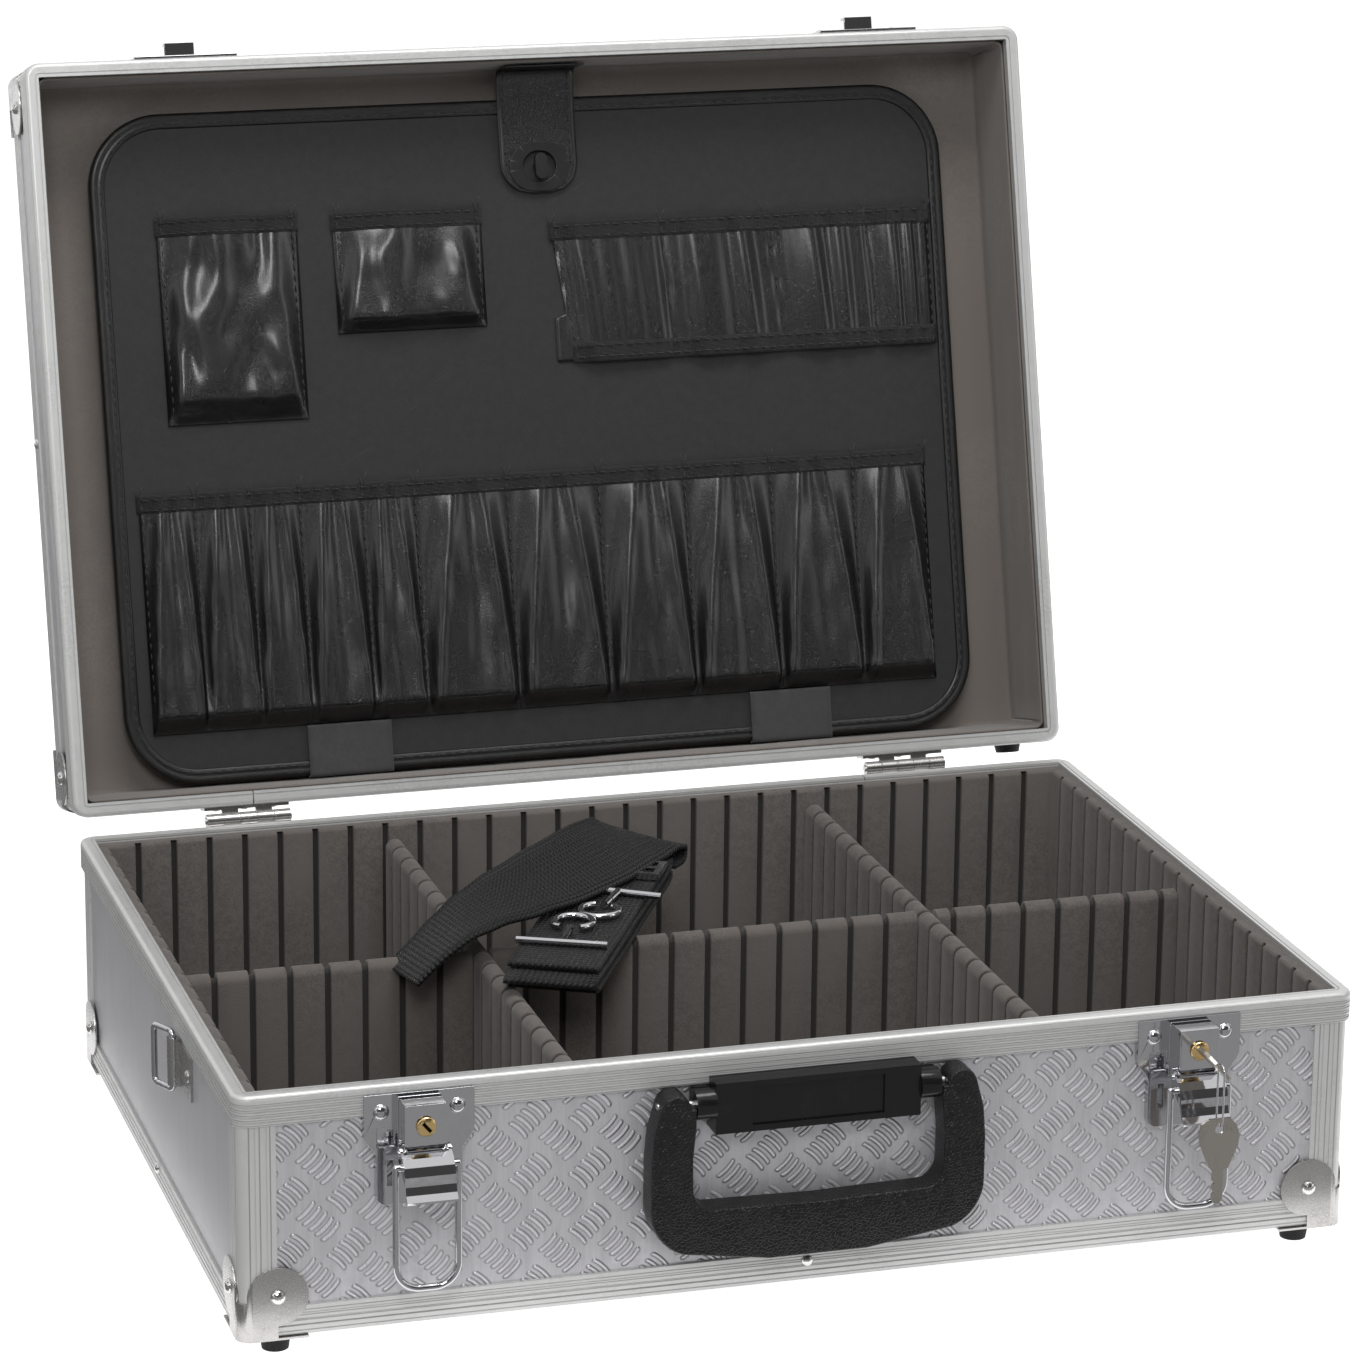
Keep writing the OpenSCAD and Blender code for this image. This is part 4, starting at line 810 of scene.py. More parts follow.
def ribbed_divider(bm, length, low, high):
    """Divider along X, its grooves running up both faces and over the rounded top"""
    half = DIVIDER_T / 2
    bm.verts.layers.float.new("deep")
    verts = box(bm, (length, DIVIDER_T, high - low), (0, 0, (low + high) / 2))
    edges = [e for e in bm.edges if e.verts[0] in verts and all(
        v.co.z > high - 0.01 for v in e.verts) and abs(e.verts[0].co.y - e.verts[1].co.y) < 0.01]
    round_edges(bm, edges, half - 0.02, 5)
    places = groove_places(length)
    cut_across(bm, [p + s * GROOVE_W / 2 for p in places for s in (-1, 1)])
    bm.normal_update()
    faces = [f for f in bm.faces if in_groove(f.calc_center_median().x, places) and f.normal.z > -0.5]

    def towards_core(co):
        core = Vector((co.x, 0, min(co.z, high - half)))
        return (core - co).normalized() * DIVIDER_GROOVE

    push_in(bm, faces, towards_core)
    bm.normal_update()
    soften_grooves(bm, places, 0.45)
    ends = [e for e in bm.edges if len(e.link_faces) == 2 and e.calc_face_angle(0) > radians(50)
            and all(abs(abs(v.co.x) - length / 2) < 0.01 for v in e.verts)]
    round_edges(bm, ends, 0.8, 2)


def ribbon(bm, route, width, rows=6):
    """A flat band drawn along a route of (point, side[, width]), with its UVs in metres"""
    layer = bm.loops.layers.uv.verify()

    def place(j, step):
        wide = step[2] if len(step) > 2 else width
        return Vector(step[0]) + Vector(step[1]).normalized() * wide * (j / rows - 0.5)

    line = [bm.verts.new(place(j, route[0])) for j in range(rows + 1)]
    edges = [bm.edges.new((line[j], line[j + 1])) for j in range(rows)]
    where = {vert: (0.0, j) for j, vert in enumerate(line)}
    run = 0.0
    for last, step in zip(route, route[1:]):
        run += (Vector(step[0]) - Vector(last[0])).length
        old = {tuple(vert.co): where[vert][1] for edge in edges for vert in edge.verts}
        drawn = bmesh.ops.extrude_edge_only(bm, edges=edges)["geom"]
        for vert in of_kind(drawn, bmesh.types.BMVert):
            j = old[tuple(vert.co)]
            where[vert] = (run, j)
            vert.co = place(j, step)
        edges = of_kind(drawn, bmesh.types.BMEdge)
        for face in of_kind(drawn, bmesh.types.BMFace):
            for loop in face.loops:
                along, j = where[loop.vert]
                loop[layer].uv = (along * MM, width * j / rows * MM)
    return run


def smooth_path(points, step):
    """Points of a smooth curve through the given ones, about step apart"""
    points = [Vector(p) for p in points]
    padded = [2 * points[0] - points[1]] + points + [2 * points[-1] - points[-2]]
    out = []
    for i in range(1, len(padded) - 2):
        a, b, c, d = padded[i - 1:i + 3]
        count = max(2, ceil((c - b).length / step))
        for k in range(count):
            t = k / count
            out.append(0.5 * ((2 * b) + (c - a) * t + (2 * a - 5 * b + 4 * c - d) * t * t
                              + (3 * b - a - 3 * c + d) * t ** 3))
    return out + [points[-1]]


def step_up(low, high, x):
    t = max(0.0, min(1.0, (x - low) / (high - low)))
    return t * t * (3 - 2 * t)


def join_in(bm, part):
    """Moves one bmesh into another"""
    mesh = bpy.data.meshes.new("part")
    part.to_mesh(mesh)
    part.free()
    bm.from_mesh(mesh)
    bpy.data.meshes.remove(mesh)


def run_of(points):
    """How far along the line each of its points lies"""
    runs = [0.0]
    for last, point in zip(points, points[1:]):
        runs.append(runs[-1] + (point - last).length)
    return runs


def stitch_line(bm, points, normal, length, gap=1.1, radius=0.32, lift=0.1):
    """Small humps of thread laid one after another along a line of points"""
    points = [Vector(p) for p in points]
    normals = normal if isinstance(normal, list) else [Vector(normal)] * len(points)
    runs = run_of(points)

    def at(run):
        i = max(0, min(bisect_right(runs, run) - 1, len(points) - 2))
        t = (run - runs[i]) / max(1e-6, runs[i + 1] - runs[i])
        return points[i].lerp(points[i + 1], t), normals[i]

    start = 0.0
    while start + length <= runs[-1]:
        (a, up), (b, _) = at(start), at(start + length)
        along = (b - a).normalized()
        up = (up - along * up.dot(along)).normalized()
        turn = Matrix((along, up.cross(along), up)).transposed().to_4x4()
        bmesh.ops.create_icosphere(
            bm, subdivisions=1, radius=1.0,
            matrix=Matrix.Translation((a + b) / 2 + up * lift) @ turn
            @ Matrix.Diagonal((length / 2, radius, radius, 1)))
        start += length + gap


# ---- The pallet's pockets ----

def hashed(index, salt):
    return noise.noise(Vector((index * 7.31 + salt * 3.7, salt * 1.93, 0.5))) * 0.5 + 0.5


def pocket_height(x, v, slack):
    """How far the long row of pockets stands off the board at x, v from the hinge edge"""
    seams = POCKET_SEAMS
    for i in range(len(seams) - 1):
        if seams[i] <= x <= seams[i + 1]:
            break
    else:
        return 0.0
    wide = seams[i + 1] - seams[i]
    s = (x - seams[i]) / wide
    t = min(1.0, (v - POCKET_LOW) / (POCKET_TOP - POCKET_LOW))
    low = (1 - t) ** 0.75
    lean = (hashed(i, 1) - 0.5) * 0.24
    a = (0.40 + lean) * (1 - low) + 0.07 * low
    b = (0.40 - lean) * (1 - low) + 0.07 * low
    body = step_up(0, a, s) * step_up(0, b, 1 - s)
    full = min(slack, wide * 0.3)
    deep = full * (0.42 + 0.58 * low ** 1.1)
    fall = step_up(-0.005, 0.085, t)
    ridge = exp(-((s - a) / 0.05) ** 2) + exp(-((1 - s - b) / 0.05) ** 2)
    pleat = exp(-((s - 0.5 - lean) / 0.10) ** 2) * (1 - low) * 0.45
    wave = sin(2 * pi * (s * (1.5 + hashed(i, 2)) + hashed(i, 3))) * 0.09 * (1 - 0.5 * low)
    height = deep * (body * (0.86 - pleat + wave) + 0.24 * ridge * body) * fall
    crease = noise.noise(Vector((x * 0.16, v * 0.045, 3.1))) * 0.6 * body
    return max(0.0, min(slack, height + crease)) + SHEET_LIFT


def loop_height(x, v, slack):
    """How far the row of tool loops stands off the board"""
    t = (v - LOOP_LOW) / (LOOP_TOP - LOOP_LOW)
    lines = [seam + lean * (1 - t) for seam, lean in zip(LOOP_SEAMS, LOOP_LEAN)]
    for i in range(len(lines) - 1):
        if lines[i] <= x <= lines[i + 1]:
            break
    else:
        return SHEET_LIFT
    s = (x - lines[i]) / (lines[i + 1] - lines[i])
    body = sin(pi * s) ** 0.55
    folds = sum(0.14 * sin(2 * pi * (s * f + hashed(i, 10 + f)) + t * (hashed(i, 20 + f) - 0.5) * 3)
                for f in (2, 3, 4))
    height = slack * 0.72 * body * (0.72 + folds) * (0.85 + 0.3 * sin(pi * t))
    return max(0.0, min(slack, height)) + SHEET_LIFT


def sheet_grid(bm, x0, x1, v0, v1, step, height, place_v=None):
    """A sheet over the board between x0..x1 and v0..v1, raised by height(x, v)"""
    nx, nv = max(2, round((x1 - x0) / step)), max(2, round((v1 - v0) / step))
    before = set(bm.verts)
    bmesh.ops.create_grid(bm, x_segments=nx, y_segments=nv, size=0.5, calc_uvs=False)
    layer = bm.loops.layers.uv.verify()
    fresh = [v for v in bm.verts if v not in before]
    for vert in fresh:
        s, t = vert.co.x + 0.5, vert.co.y + 0.5
        t = place_v(t) if place_v else t
        x, v = x0 + (x1 - x0) * s, v0 + (v1 - v0) * t
        vert.co = Vector((x, PALLET_L / 2 - v, -height(x, v)))
    fresh = set(fresh)
    for face in bm.faces:
        if face.verts[0] in fresh:
            for loop in face.loops:
                loop[layer].uv = (loop.vert.co.x * MM + 1, loop.vert.co.y * MM + 1)
    return fresh


# ---- Pieces ----

def paint(names, look, edge=0.0, segments=2):
    """Gives CAD nodes their finish, and softens their sharp edges a little"""
    for name in names:
        obj = NODES[name]
        for slot in obj.material_slots:
            slot.material = finish(look)
        if edge:
            weld = obj.modifiers.new("weld", "WELD")
            weld.merge_threshold = 0.00001
            add_round(obj, edge, segments)


class TOOLCASE_OT_stage(bpy.types.Operator):
    """Floor, soft lights, pale background and the camera"""
    bl_idname = "tool_case.stage"
    bl_label = "Stage"
    bl_options = {"REGISTER", "UNDO"}

    def execute(self, context):
        make_floor()
        make_lights()
        make_dark_cards()
        make_world(context.scene)
        context.scene.view_settings.view_transform = "Standard"
        make_camera(context.scene)
        return {"FINISHED"}


def seen_directly(tree):
    """1 for what the camera, a mirror or glass sees, 0 for the light on the object"""
    path = new_node(tree, "ShaderNodeLightPath").outputs
    either = sums(tree, "MAXIMUM", path["Is Camera Ray"], path["Is Glossy Ray"])
    return sums(tree, "MAXIMUM", either, path["Is Transmission Ray"])


def make_floor():
    bm = bmesh.new()
    bmesh.ops.create_grid(bm, x_segments=2, y_segments=2, size=6.0)
    mesh = bpy.data.meshes.new("floor")
    bmesh.ops.translate(bm, vec=(0, 0, GROUND), verts=bm.verts)
    bm.to_mesh(mesh)
    bm.free()
    floor_obj = bpy.data.objects.new("floor", mesh)
    bpy.context.collection.objects.link(floor_obj)
    material = bpy.data.materials.new("pale_floor")
    material.use_nodes = True
    tree = material.node_tree
    shader = tree.nodes["Principled BSDF"]
    shader.inputs["Base Color"].default_value = (0.8, 0.8, 0.8, 1)
    shader.inputs["Roughness"].default_value = 0.9
    shader.inputs["Specular IOR Level"].default_value = 0.1
    shader.inputs["Emission Color"].default_value = (1, 1, 1, 1)
    feed(tree, shader.inputs["Emission Strength"], times(tree, seen_directly(tree), 0.9))
    mesh.materials.append(material)


def make_light(name, place, aim, size, power, size_y=None):
    lamp = bpy.data.lights.new(name, "AREA")
    lamp.shape = "RECTANGLE"
    lamp.size = size
    lamp.size_y = size_y or size
    lamp.energy = power
    obj = bpy.data.objects.new(name, lamp)
    bpy.context.collection.objects.link(obj)
    obj.location = place
    obj.rotation_euler = (Vector(aim) - Vector(place)).to_track_quat("-Z", "Y").to_euler()


def make_lights():
    aim = (0, 0, 0.12)
    make_light("top_softbox", (0.1, -0.35, 1.9), aim, 1.0, 17, 0.6)
    make_light("front_softbox", (-0.7, -2.3, 1.8), aim, 0.75, 26)
    make_light("left_softbox", (-1.9, -0.5, 1.0), aim, 0.8, 3.5, 1.2)
    make_light("right_softbox", (1.9, -0.9, 0.9), aim, 0.5, 4, 1.2)


def make_dark_cards():
    low = GROUND + 0.0033
    make_dark_card("dark_card_front", (0, -3.4, 1.3), (0, 0, 0.2), 6.4, 3.8, 0.08)
    make_dark_card("dark_card_left", (-3.2, -0.4, 1.0), (0, 0, 0.1), 4.0, 2.6, 0.2)
    make_dark_card("dark_card_right", (3.2, -0.4, 1.0), (0, 0, 0.1), 4.0, 2.6, 0.2)
    make_dark_card("dark_card_low_front", (0, -1.15, low), (0, -1.15, 1), 3.0, 1.9, 0.4)
    make_dark_card("dark_card_low_left", (-1.15, 0.6, low), (-1.15, 0.6, 1), 1.8, 2.0, 0.22)


def make_dark_card(name, place, aim, width, height, shade):
    """A dark board beside the camera that polished and black surfaces mirror"""
    bm = bmesh.new()
    bmesh.ops.create_grid(bm, x_segments=1, y_segments=1, size=0.5)
    bmesh.ops.scale(bm, vec=(width, height, 1), verts=bm.verts)
    turn = (Vector(aim) - Vector(place)).to_track_quat("Z", "Y").to_matrix().to_4x4()
    bm.transform(Matrix.Translation(place) @ turn)
    mesh = bpy.data.meshes.new(name)
    bm.to_mesh(mesh)
    bm.free()
    material = bpy.data.materials.new(name)
    material.use_nodes = True
    shader = material.node_tree.nodes["Principled BSDF"]
    shader.inputs["Base Color"].default_value = (0, 0, 0, 1)
    shader.inputs["Specular IOR Level"].default_value = 0
    shader.inputs["Emission Color"].default_value = (shade, shade, shade, 1)
    shader.inputs["Emission Strength"].default_value = 1.0
    mesh.materials.append(material)
    card = bpy.data.objects.new(name, mesh)
    bpy.context.collection.objects.link(card)
    card.visible_camera = card.visible_diffuse = card.visible_shadow = False
    card.visible_transmission = False


def make_world(scene):
    world = bpy.data.worlds.new("soft_room")
    world.use_nodes = True
    tree = world.node_tree
    back = tree.nodes["Background"]
    back.inputs["Color"].default_value = (1, 1, 1, 1)
    strength = plus(tree, 0.3, times(tree, seen_directly(tree), 0.7))
    feed(tree, back.inputs["Strength"], strength)
    scene.world = world


CAMERA_TURN, CAMERA_RISE, CAMERA_ROLL = -16.72, 16.35, 0.59
CAMERA_AIM = (-5.87, 0, 202.19)
FOCAL_PIXELS, PICTURE_PIXELS, SENSOR = 5168, 1360, 36


def make_camera(scene):
    """Stands where the photograph was taken from"""
    azimuth, height, roll = radians(CAMERA_TURN), radians(CAMERA_RISE), radians(CAMERA_ROLL)
    back = Vector((sin(azimuth) * cos(height), -cos(azimuth) * cos(height), sin(height)))
    right = (-back).cross(Vector((0, 0, 1))).normalized()
    up = right.cross(-back)
    right, up = right * cos(roll) + up * sin(roll), up * cos(roll) - right * sin(roll)
    target = Vector(CAMERA_AIM) * MM
    lens = bpy.data.cameras.new("camera")
    lens.sensor_width = SENSOR
    lens.lens = FOCAL_PIXELS / PICTURE_PIXELS * SENSOR
    lens.clip_start = 0.05
    camera = bpy.data.objects.new("camera", lens)
    bpy.context.collection.objects.link(camera)
    turn = Matrix((right, up, back)).transposed().to_4x4()
    distance = scene.tool_case_sizes.distance
    camera.matrix_world = Matrix.Translation(target + back * distance) @ turn
    scene.camera = camera


class TOOLCASE_OT_shell(bpy.types.Operator):
    """Panels, rims, edge profiles, corner posts, caps and rivets"""
    bl_idname = "tool_case.shell"
    bl_label = "Shell"
    bl_options = {"REGISTER", "UNDO"}

    def execute(self, context):
        paint(("base_front_panel", "base_back_panel"), "tread_sheet")
        paint(("base_left_panel", "base_right_panel", "base_bottom_panel"), "plain_sheet")
        paint(("lid_wall_panels", "lid_top_panel"), "plain_sheet_lid")
        paint(("base_rim", "base_edge_profiles"), "profile")
        paint(("lid_rim", "lid_edge_profiles"), "profile_lid")
        paint(("base_corner_posts",), "post")
        paint(("lid_corner_posts",), "post_lid")
        paint(("base_corner_caps", "lid_corner_caps"), "cap_steel", 0.25)
        paint(("base_rivets", "lid_rivets"), "rivet_steel")
        return {"FINISHED"}


class TOOLCASE_OT_fittings(bpy.types.Operator):
    """Hinges, side rings and their plates, and rubber feet"""
    bl_idname = "tool_case.fittings"
    bl_label = "Hinges, rings and feet"
    bl_options = {"REGISTER", "UNDO"}

    def execute(self, context):
        paint(("hinge_leaves_base", "hinge_leaves_lid", "hinge_pins"), "hinge_steel")
        paint(("ring_plates",), "cap_steel")
        paint(("side_ring_left", "side_ring_right"), "chrome")
        paint(("base_feet", "rear_feet", "lid_foot"), "rubber")
        return {"FINISHED"}


class TOOLCASE_OT_latches(bpy.types.Operator):
    """Draw latches, catches, locks and keys"""
    bl_idname = "tool_case.latches"
    bl_label = "Latches and keys"
    bl_options = {"REGISTER", "UNDO"}

    def execute(self, context):
        paint(("latch_plate_left", "latch_plate_right", "lever_left", "lever_right",
               "catch_plates"), "chrome", 0.35)
        paint(("bail_left", "bail_right", "lever_pins"), "chrome")
        paint(("lock_barrel_left", "lock_barrel_right"), "brass")
        paint(("lock_key", "spare_key"), "key_nickel")
        paint(("key_ring",), "chrome")
        return {"FINISHED"}


class TOOLCASE_OT_handle(bpy.types.Operator):
    """Carrying handle, its bracket and pins"""
    bl_idname = "tool_case.handle"
    bl_label = "Handle"
    bl_options = {"REGISTER", "UNDO"}

    def execute(self, context):
        paint(("handle_bracket",), "bracket_gloss", 0.7, 3)
        paint(("handle_pins",), "hinge_steel")
        make_handle()
        return {"FINISHED"}


def arc_points(cx, cy, r, a0, a1, count):
    return [(cx + r * cos(radians(a0 + (a1 - a0) * i / count)),
             cy + r * sin(radians(a0 + (a1 - a0) * i / count))) for i in range(count + 1)]


def make_handle():
    """The grip's outline, drawn out to its thickness with rounded edges"""
    inner = BRACKET_W / 2 + 0.4
    arm_x = inner + ARM_R
    out = HANDLE_W / 2
    low, top = -HANDLE_DROP, -HANDLE_DROP + GRIP_H
    half = arc_points(arm_x, 0, HANDLE_T / 2, 180, 20, 8)
    half = [(inner, -4), (inner, 0)] + [p for p in half if p[0] > inner + 0.5]
    half += [(out - 1, -10), (out, -22)] + arc_points(out - 20, low + 24, 20, 0, -70, 10)
    half += [(20, low), (0, low)]
    hole = [(0, top), (24, top + 0.6)] + arc_points(inner - 8, top + 9.6, 9, -72, 0, 7)
    hole += [(inner + 1.2, -20), (inner, -8)]
    outline = half + [(-x, y) for x, y in reversed(half[:-1])]
    outline += [(-x, y) for x, y in reversed(hole[1:])] + hole
    bm = bmesh.new()
    verts = [bm.verts.new((x, -HANDLE_T / 2, y)) for x, y in outline]
    face = bm.faces.new(verts)
    drawn = bmesh.ops.extrude_face_region(bm, geom=[face])
    bmesh.ops.translate(bm, vec=(0, HANDLE_T, 0), verts=of_kind(drawn["geom"], bmesh.types.BMVert))
    bmesh.ops.recalc_face_normals(bm, faces=bm.faces)
    long_edges = [e for e in bm.edges if abs(e.verts[0].co.y - e.verts[1].co.y) < 0.01]
    round_edges(bm, long_edges, 3.0, 5)
    grip = add_piece(bm, "handle_grip", finish("handle_grain"), "handle",
                     Matrix.Translation((0, HANDLE_Y, HANDLE_Z)), sharp=50)
    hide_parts("handle")


class TOOLCASE_OT_lining(bpy.types.Operator):
    """Ribbed wall lining and floor pad of the base"""
    bl_idname = "tool_case.lining"
    bl_label = "Lining"
    bl_options = {"REGISTER", "UNDO"}

    def execute(self, context):
        walls = bmesh.new()
        thick = FOAM - RIM_LIP
        top = RIM_TOP - 2
        for turn, length, back in ((0, 2 * (INNER_X - RIM_LIP) - 0.1, INNER_Y - RIM_LIP - 0.05),
                                   (90, 2 * FOAM_Y - 0.1, INNER_X - RIM_LIP - 0.05)):
            for half in (0, 180):
                part = bmesh.new()
                ribbed_strip(part, length, thick, FLOOR_Z, top)
                part.transform(Matrix.Rotation(radians(turn + half), 4, "Z")
                               @ Matrix.Translation((0, -back, 0)))
                join_in(walls, part)
        lining = add_piece(walls, "wall_lining", finish("foam"), "base", sharp=50)
        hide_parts("base_wall_lining")

        bm = bmesh.new()
        box(bm, (2 * (INNER_X - 0.15), 2 * (INNER_Y - 0.15), 2.9), (0, 0, PANEL_T + 1.45))
        cut_across(bm, [x * 8.0 for x in range(-27, 28)], 0)
        cut_across(bm, [y * 8.0 for y in range(-19, 20)], 1)
        for vert in bm.verts:
            if vert.co.z > PANEL_T + 2:
                vert.co.z += noise.noise(vert.co * 0.02) * 0.35 - 0.2
        pad = add_piece(bm, "floor_pad", finish("foam"), "base")
        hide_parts("base_floor_pad")
        return {"FINISHED"}


class TOOLCASE_OT_dividers(bpy.types.Operator):
    """Two long and three cross dividers"""
    bl_idname = "tool_case.dividers"
    bl_label = "Dividers"
    bl_options = {"REGISTER", "UNDO"}

    def execute(self, context):
        long = 2 * (FOAM_Y - SEAT)
        half = DIVIDER_T / 2
        made = [("divider_left", "base", LEFT_X, 90, long), ("divider_right", "base", RIGHT_X, 90, long)]
        spans = (("cross_divider_left", -FOAM_X, LEFT_X - half), ("cross_divider_middle", LEFT_X + half,
                 RIGHT_X - half), ("cross_divider_right", RIGHT_X + half, FOAM_X))
        for name, x0, x1 in spans:
            made.append((name, name, (x0 + x1) / 2, 0, x1 - x0 - 2 * SEAT))
        for name, body, x, turn, length in made:
            bm = bmesh.new()
            ribbed_divider(bm, length, FLOOR_Z, DIVIDER_TOP)
            place = Matrix.Translation((x, 0, 0)) @ Matrix.Rotation(radians(turn), 4, "Z")
            obj = add_piece(bm, name + "_foam", finish("foam"), body, place, sharp=50)
            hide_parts(name)
        return {"FINISHED"}


class TOOLCASE_OT_lid_cloth(bpy.types.Operator):
    """Cloth glued inside the lid, drawn across its corners"""
    bl_idname = "tool_case.lid_cloth"
    bl_label = "Lid cloth"
    bl_options = {"REGISTER", "UNDO"}

    def execute(self, context):
        x, y, tall = INNER_X - RIM_LIP - 0.1, INNER_Y - RIM_LIP - 0.1, 41.0
        bm = bmesh.new()
        box(bm, (2 * x, 2 * y, tall), (0, 0, PANEL_T + 0.1 + tall / 2))
        bm.normal_update()
        mouth = [f for f in bm.faces if f.normal.z > 0.9]
        bmesh.ops.delete(bm, geom=mouth, context="FACES")
        corners = [e for e in bm.edges if abs(e.verts[0].co.z - e.verts[1].co.z) > 1]
        round_edges(bm, corners, 4, 4)
        low = [e for e in bm.edges if all(v.co.z < PANEL_T + 0.2 for v in e.verts)]
        round_edges(bm, low, 3.5, 3)
        cut_across(bm, [k * 12.0 for k in range(-18, 19)], 0)
        cut_across(bm, [k * 12.0 for k in range(-13, 14)], 1)
        cut_across(bm, [PANEL_T + k * 5.0 for k in range(2, 9)], 2)
        bm.normal_update()
        for vert in bm.verts:
            near = min(1.0, max(0.0, 1 - (x - abs(vert.co.x)) / 45)) * min(
                1.0, max(0.0, 1 - (y - abs(vert.co.y)) / 45))
            ripple = noise.noise(Vector((vert.co.x * 0.035, vert.co.y * 0.035, vert.co.z * 0.09)))
            fold = sin((abs(vert.co.x) - abs(vert.co.y)) * 0.32 + ripple * 2) * near
            edge = step_up(0, 8, PANEL_T + tall - vert.co.z)
            vert.co -= vert.normal * (0.35 + 0.5 * ripple + 0.9 * max(0.0, fold)) * edge
        cloth = add_piece(bm, "lid_cloth", finish("lid_cloth"), "lid", LID_TRAY, sharp=60)
        add_thickness(cloth, 1.0)
        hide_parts("lid_lining")
        return {"FINISHED"}


class TOOLCASE_OT_pallet(bpy.types.Operator):
    """Pallet board with its bound and stitched edge and the cloth tabs"""
    bl_idname = "tool_case.pallet"
    bl_label = "Pallet board and binding"
    bl_options = {"REGISTER", "UNDO"}

    def execute(self, context):
        paint(("pallet_board",), "board")
        make_binding()
        make_binding_stitches(context.scene.tool_case_sizes.stitch / MM)
        make_tabs()
        return {"FINISHED"}


def make_binding():
    bm = bmesh.new()
    bmesh.ops.create_grid(bm, x_segments=1, y_segments=1, size=0.5)
    bmesh.ops.scale(bm, vec=(PALLET_W, PALLET_L, 1), verts=bm.verts)
    bmesh.ops.bevel(bm, geom=bm.verts[:], offset=PALLET_R, segments=14, profile=0.5,
                    affect="VERTICES", material=-1)
    bmesh.ops.translate(bm, vec=(0, 0, -1.0), verts=bm.verts)
    drawn = bmesh.ops.extrude_face_region(bm, geom=bm.faces[:])
    bmesh.ops.translate(bm, vec=(0, 0, PALLET_T + 2.0), verts=of_kind(drawn["geom"], bmesh.types.BMVert))
    bmesh.ops.recalc_face_normals(bm, faces=bm.faces)
    round_edges(bm, [e for e in bm.edges if abs(e.verts[0].co.z - e.verts[1].co.z) < 0.01], 1.9, 4)
    flats = [f for f in bm.faces if abs(f.normal.z) > 0.99 and len(f.verts) > 8]
    # The seam's furrow, the binding's flat and its inner edge
    for flat in flats:
        for width, depth in ((1.3, 0.0), (0.5, -0.28), (0.5, 0.28), (2.2, 0.0), (0.4, -0.5)):
            bmesh.ops.inset_region(bm, faces=[flat], thickness=width, depth=depth, use_even_offset=True)
    bmesh.ops.delete(bm, geom=flats, context="FACES")
    cut_across(bm, [x * 9.0 for x in range(-18, 19)], 0)
    cut_across(bm, [y * 9.0 for y in range(-12, 13)], 1)
    for vert in bm.verts:
        wobble = noise.noise(vert.co * 0.05) * 0.22
        vert.co.z += wobble * (1 if vert.co.z < 1 else -1)
    binding = add_piece(bm, "pallet_piping", finish("binding_leather"), "pallet", PALLET, sharp=70)
    add_thickness(binding, 0.5)
    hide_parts("pallet_binding")


def round_rect_path(width, length, r, z):
    x, y = width / 2 - r, length / 2 - r
    points = []
    for k, (cx, cy) in enumerate(((x, y), (-x, y), (-x, -y), (x, -y))):
        points += [Vector((px, py, z)) for px, py in arc_points(cx, cy, r, 90 * k, 90 * k + 90, 14)]
    return points + points[:1]


def make_binding_stitches(length):
    bm = bmesh.new()
    inset = 5.0
    path = round_rect_path(PALLET_W - 2 * inset, PALLET_L - 2 * inset, PALLET_R - inset, -1.05)
    stitch_line(bm, path, (0, 0, -1), length, 1.3, 0.34, 0.05)
    add_piece(bm, "binding_stitches", finish("thread"), "pallet", PALLET, sharp=180)


def make_tabs():
    bm = bmesh.new()
    edge = PALLET_L / 2
    for x in (-98, 110):
        points = smooth_path([(x, edge - 22.7, -2.0), (x, edge - 14, -1.8), (x, edge - 5, -1.75),
                              (x, edge - 0.8, -1.7), (x, edge + 0.35, -0.9), (x, edge + 0.5, 2.0)], 1.5)
        ribbon(bm, [(p, (1, 0, 0)) for p in points], 38.5, 12)
    for vert in bm.verts:
        if vert.co.z < -1.5:
            vert.co.z -= max(0.0, noise.noise(vert.co * 0.12)) * 0.5
    tabs = add_piece(bm, "cloth_tabs", finish("tab_cloth"), "pallet", PALLET, sharp=70, recalc=True)
    add_thickness(tabs, 0.6, 0.0)
    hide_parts("pallet_tabs")


class TOOLCASE_OT_pockets(bpy.types.Operator):
    """Leatherette pockets and loops with taped mouths and stitched seams"""
    bl_idname = "tool_case.pockets"
    bl_label = "Pockets"
    bl_options = {"REGISTER", "UNDO"}

    def execute(self, context):
        sizes = context.scene.tool_case_sizes
        slack, stitch = sizes.slack / MM - SHEET_LIFT, sizes.stitch / MM
        make_pocket_sheets(slack)
        make_tapes(slack)
        make_pocket_stitches(slack, stitch)
        return {"FINISHED"}


def pocket_row(slack):
    return lambda x, v: pocket_height(x, v, slack)


def loop_row(slack):
    return lambda x, v: loop_height(x, v, slack)


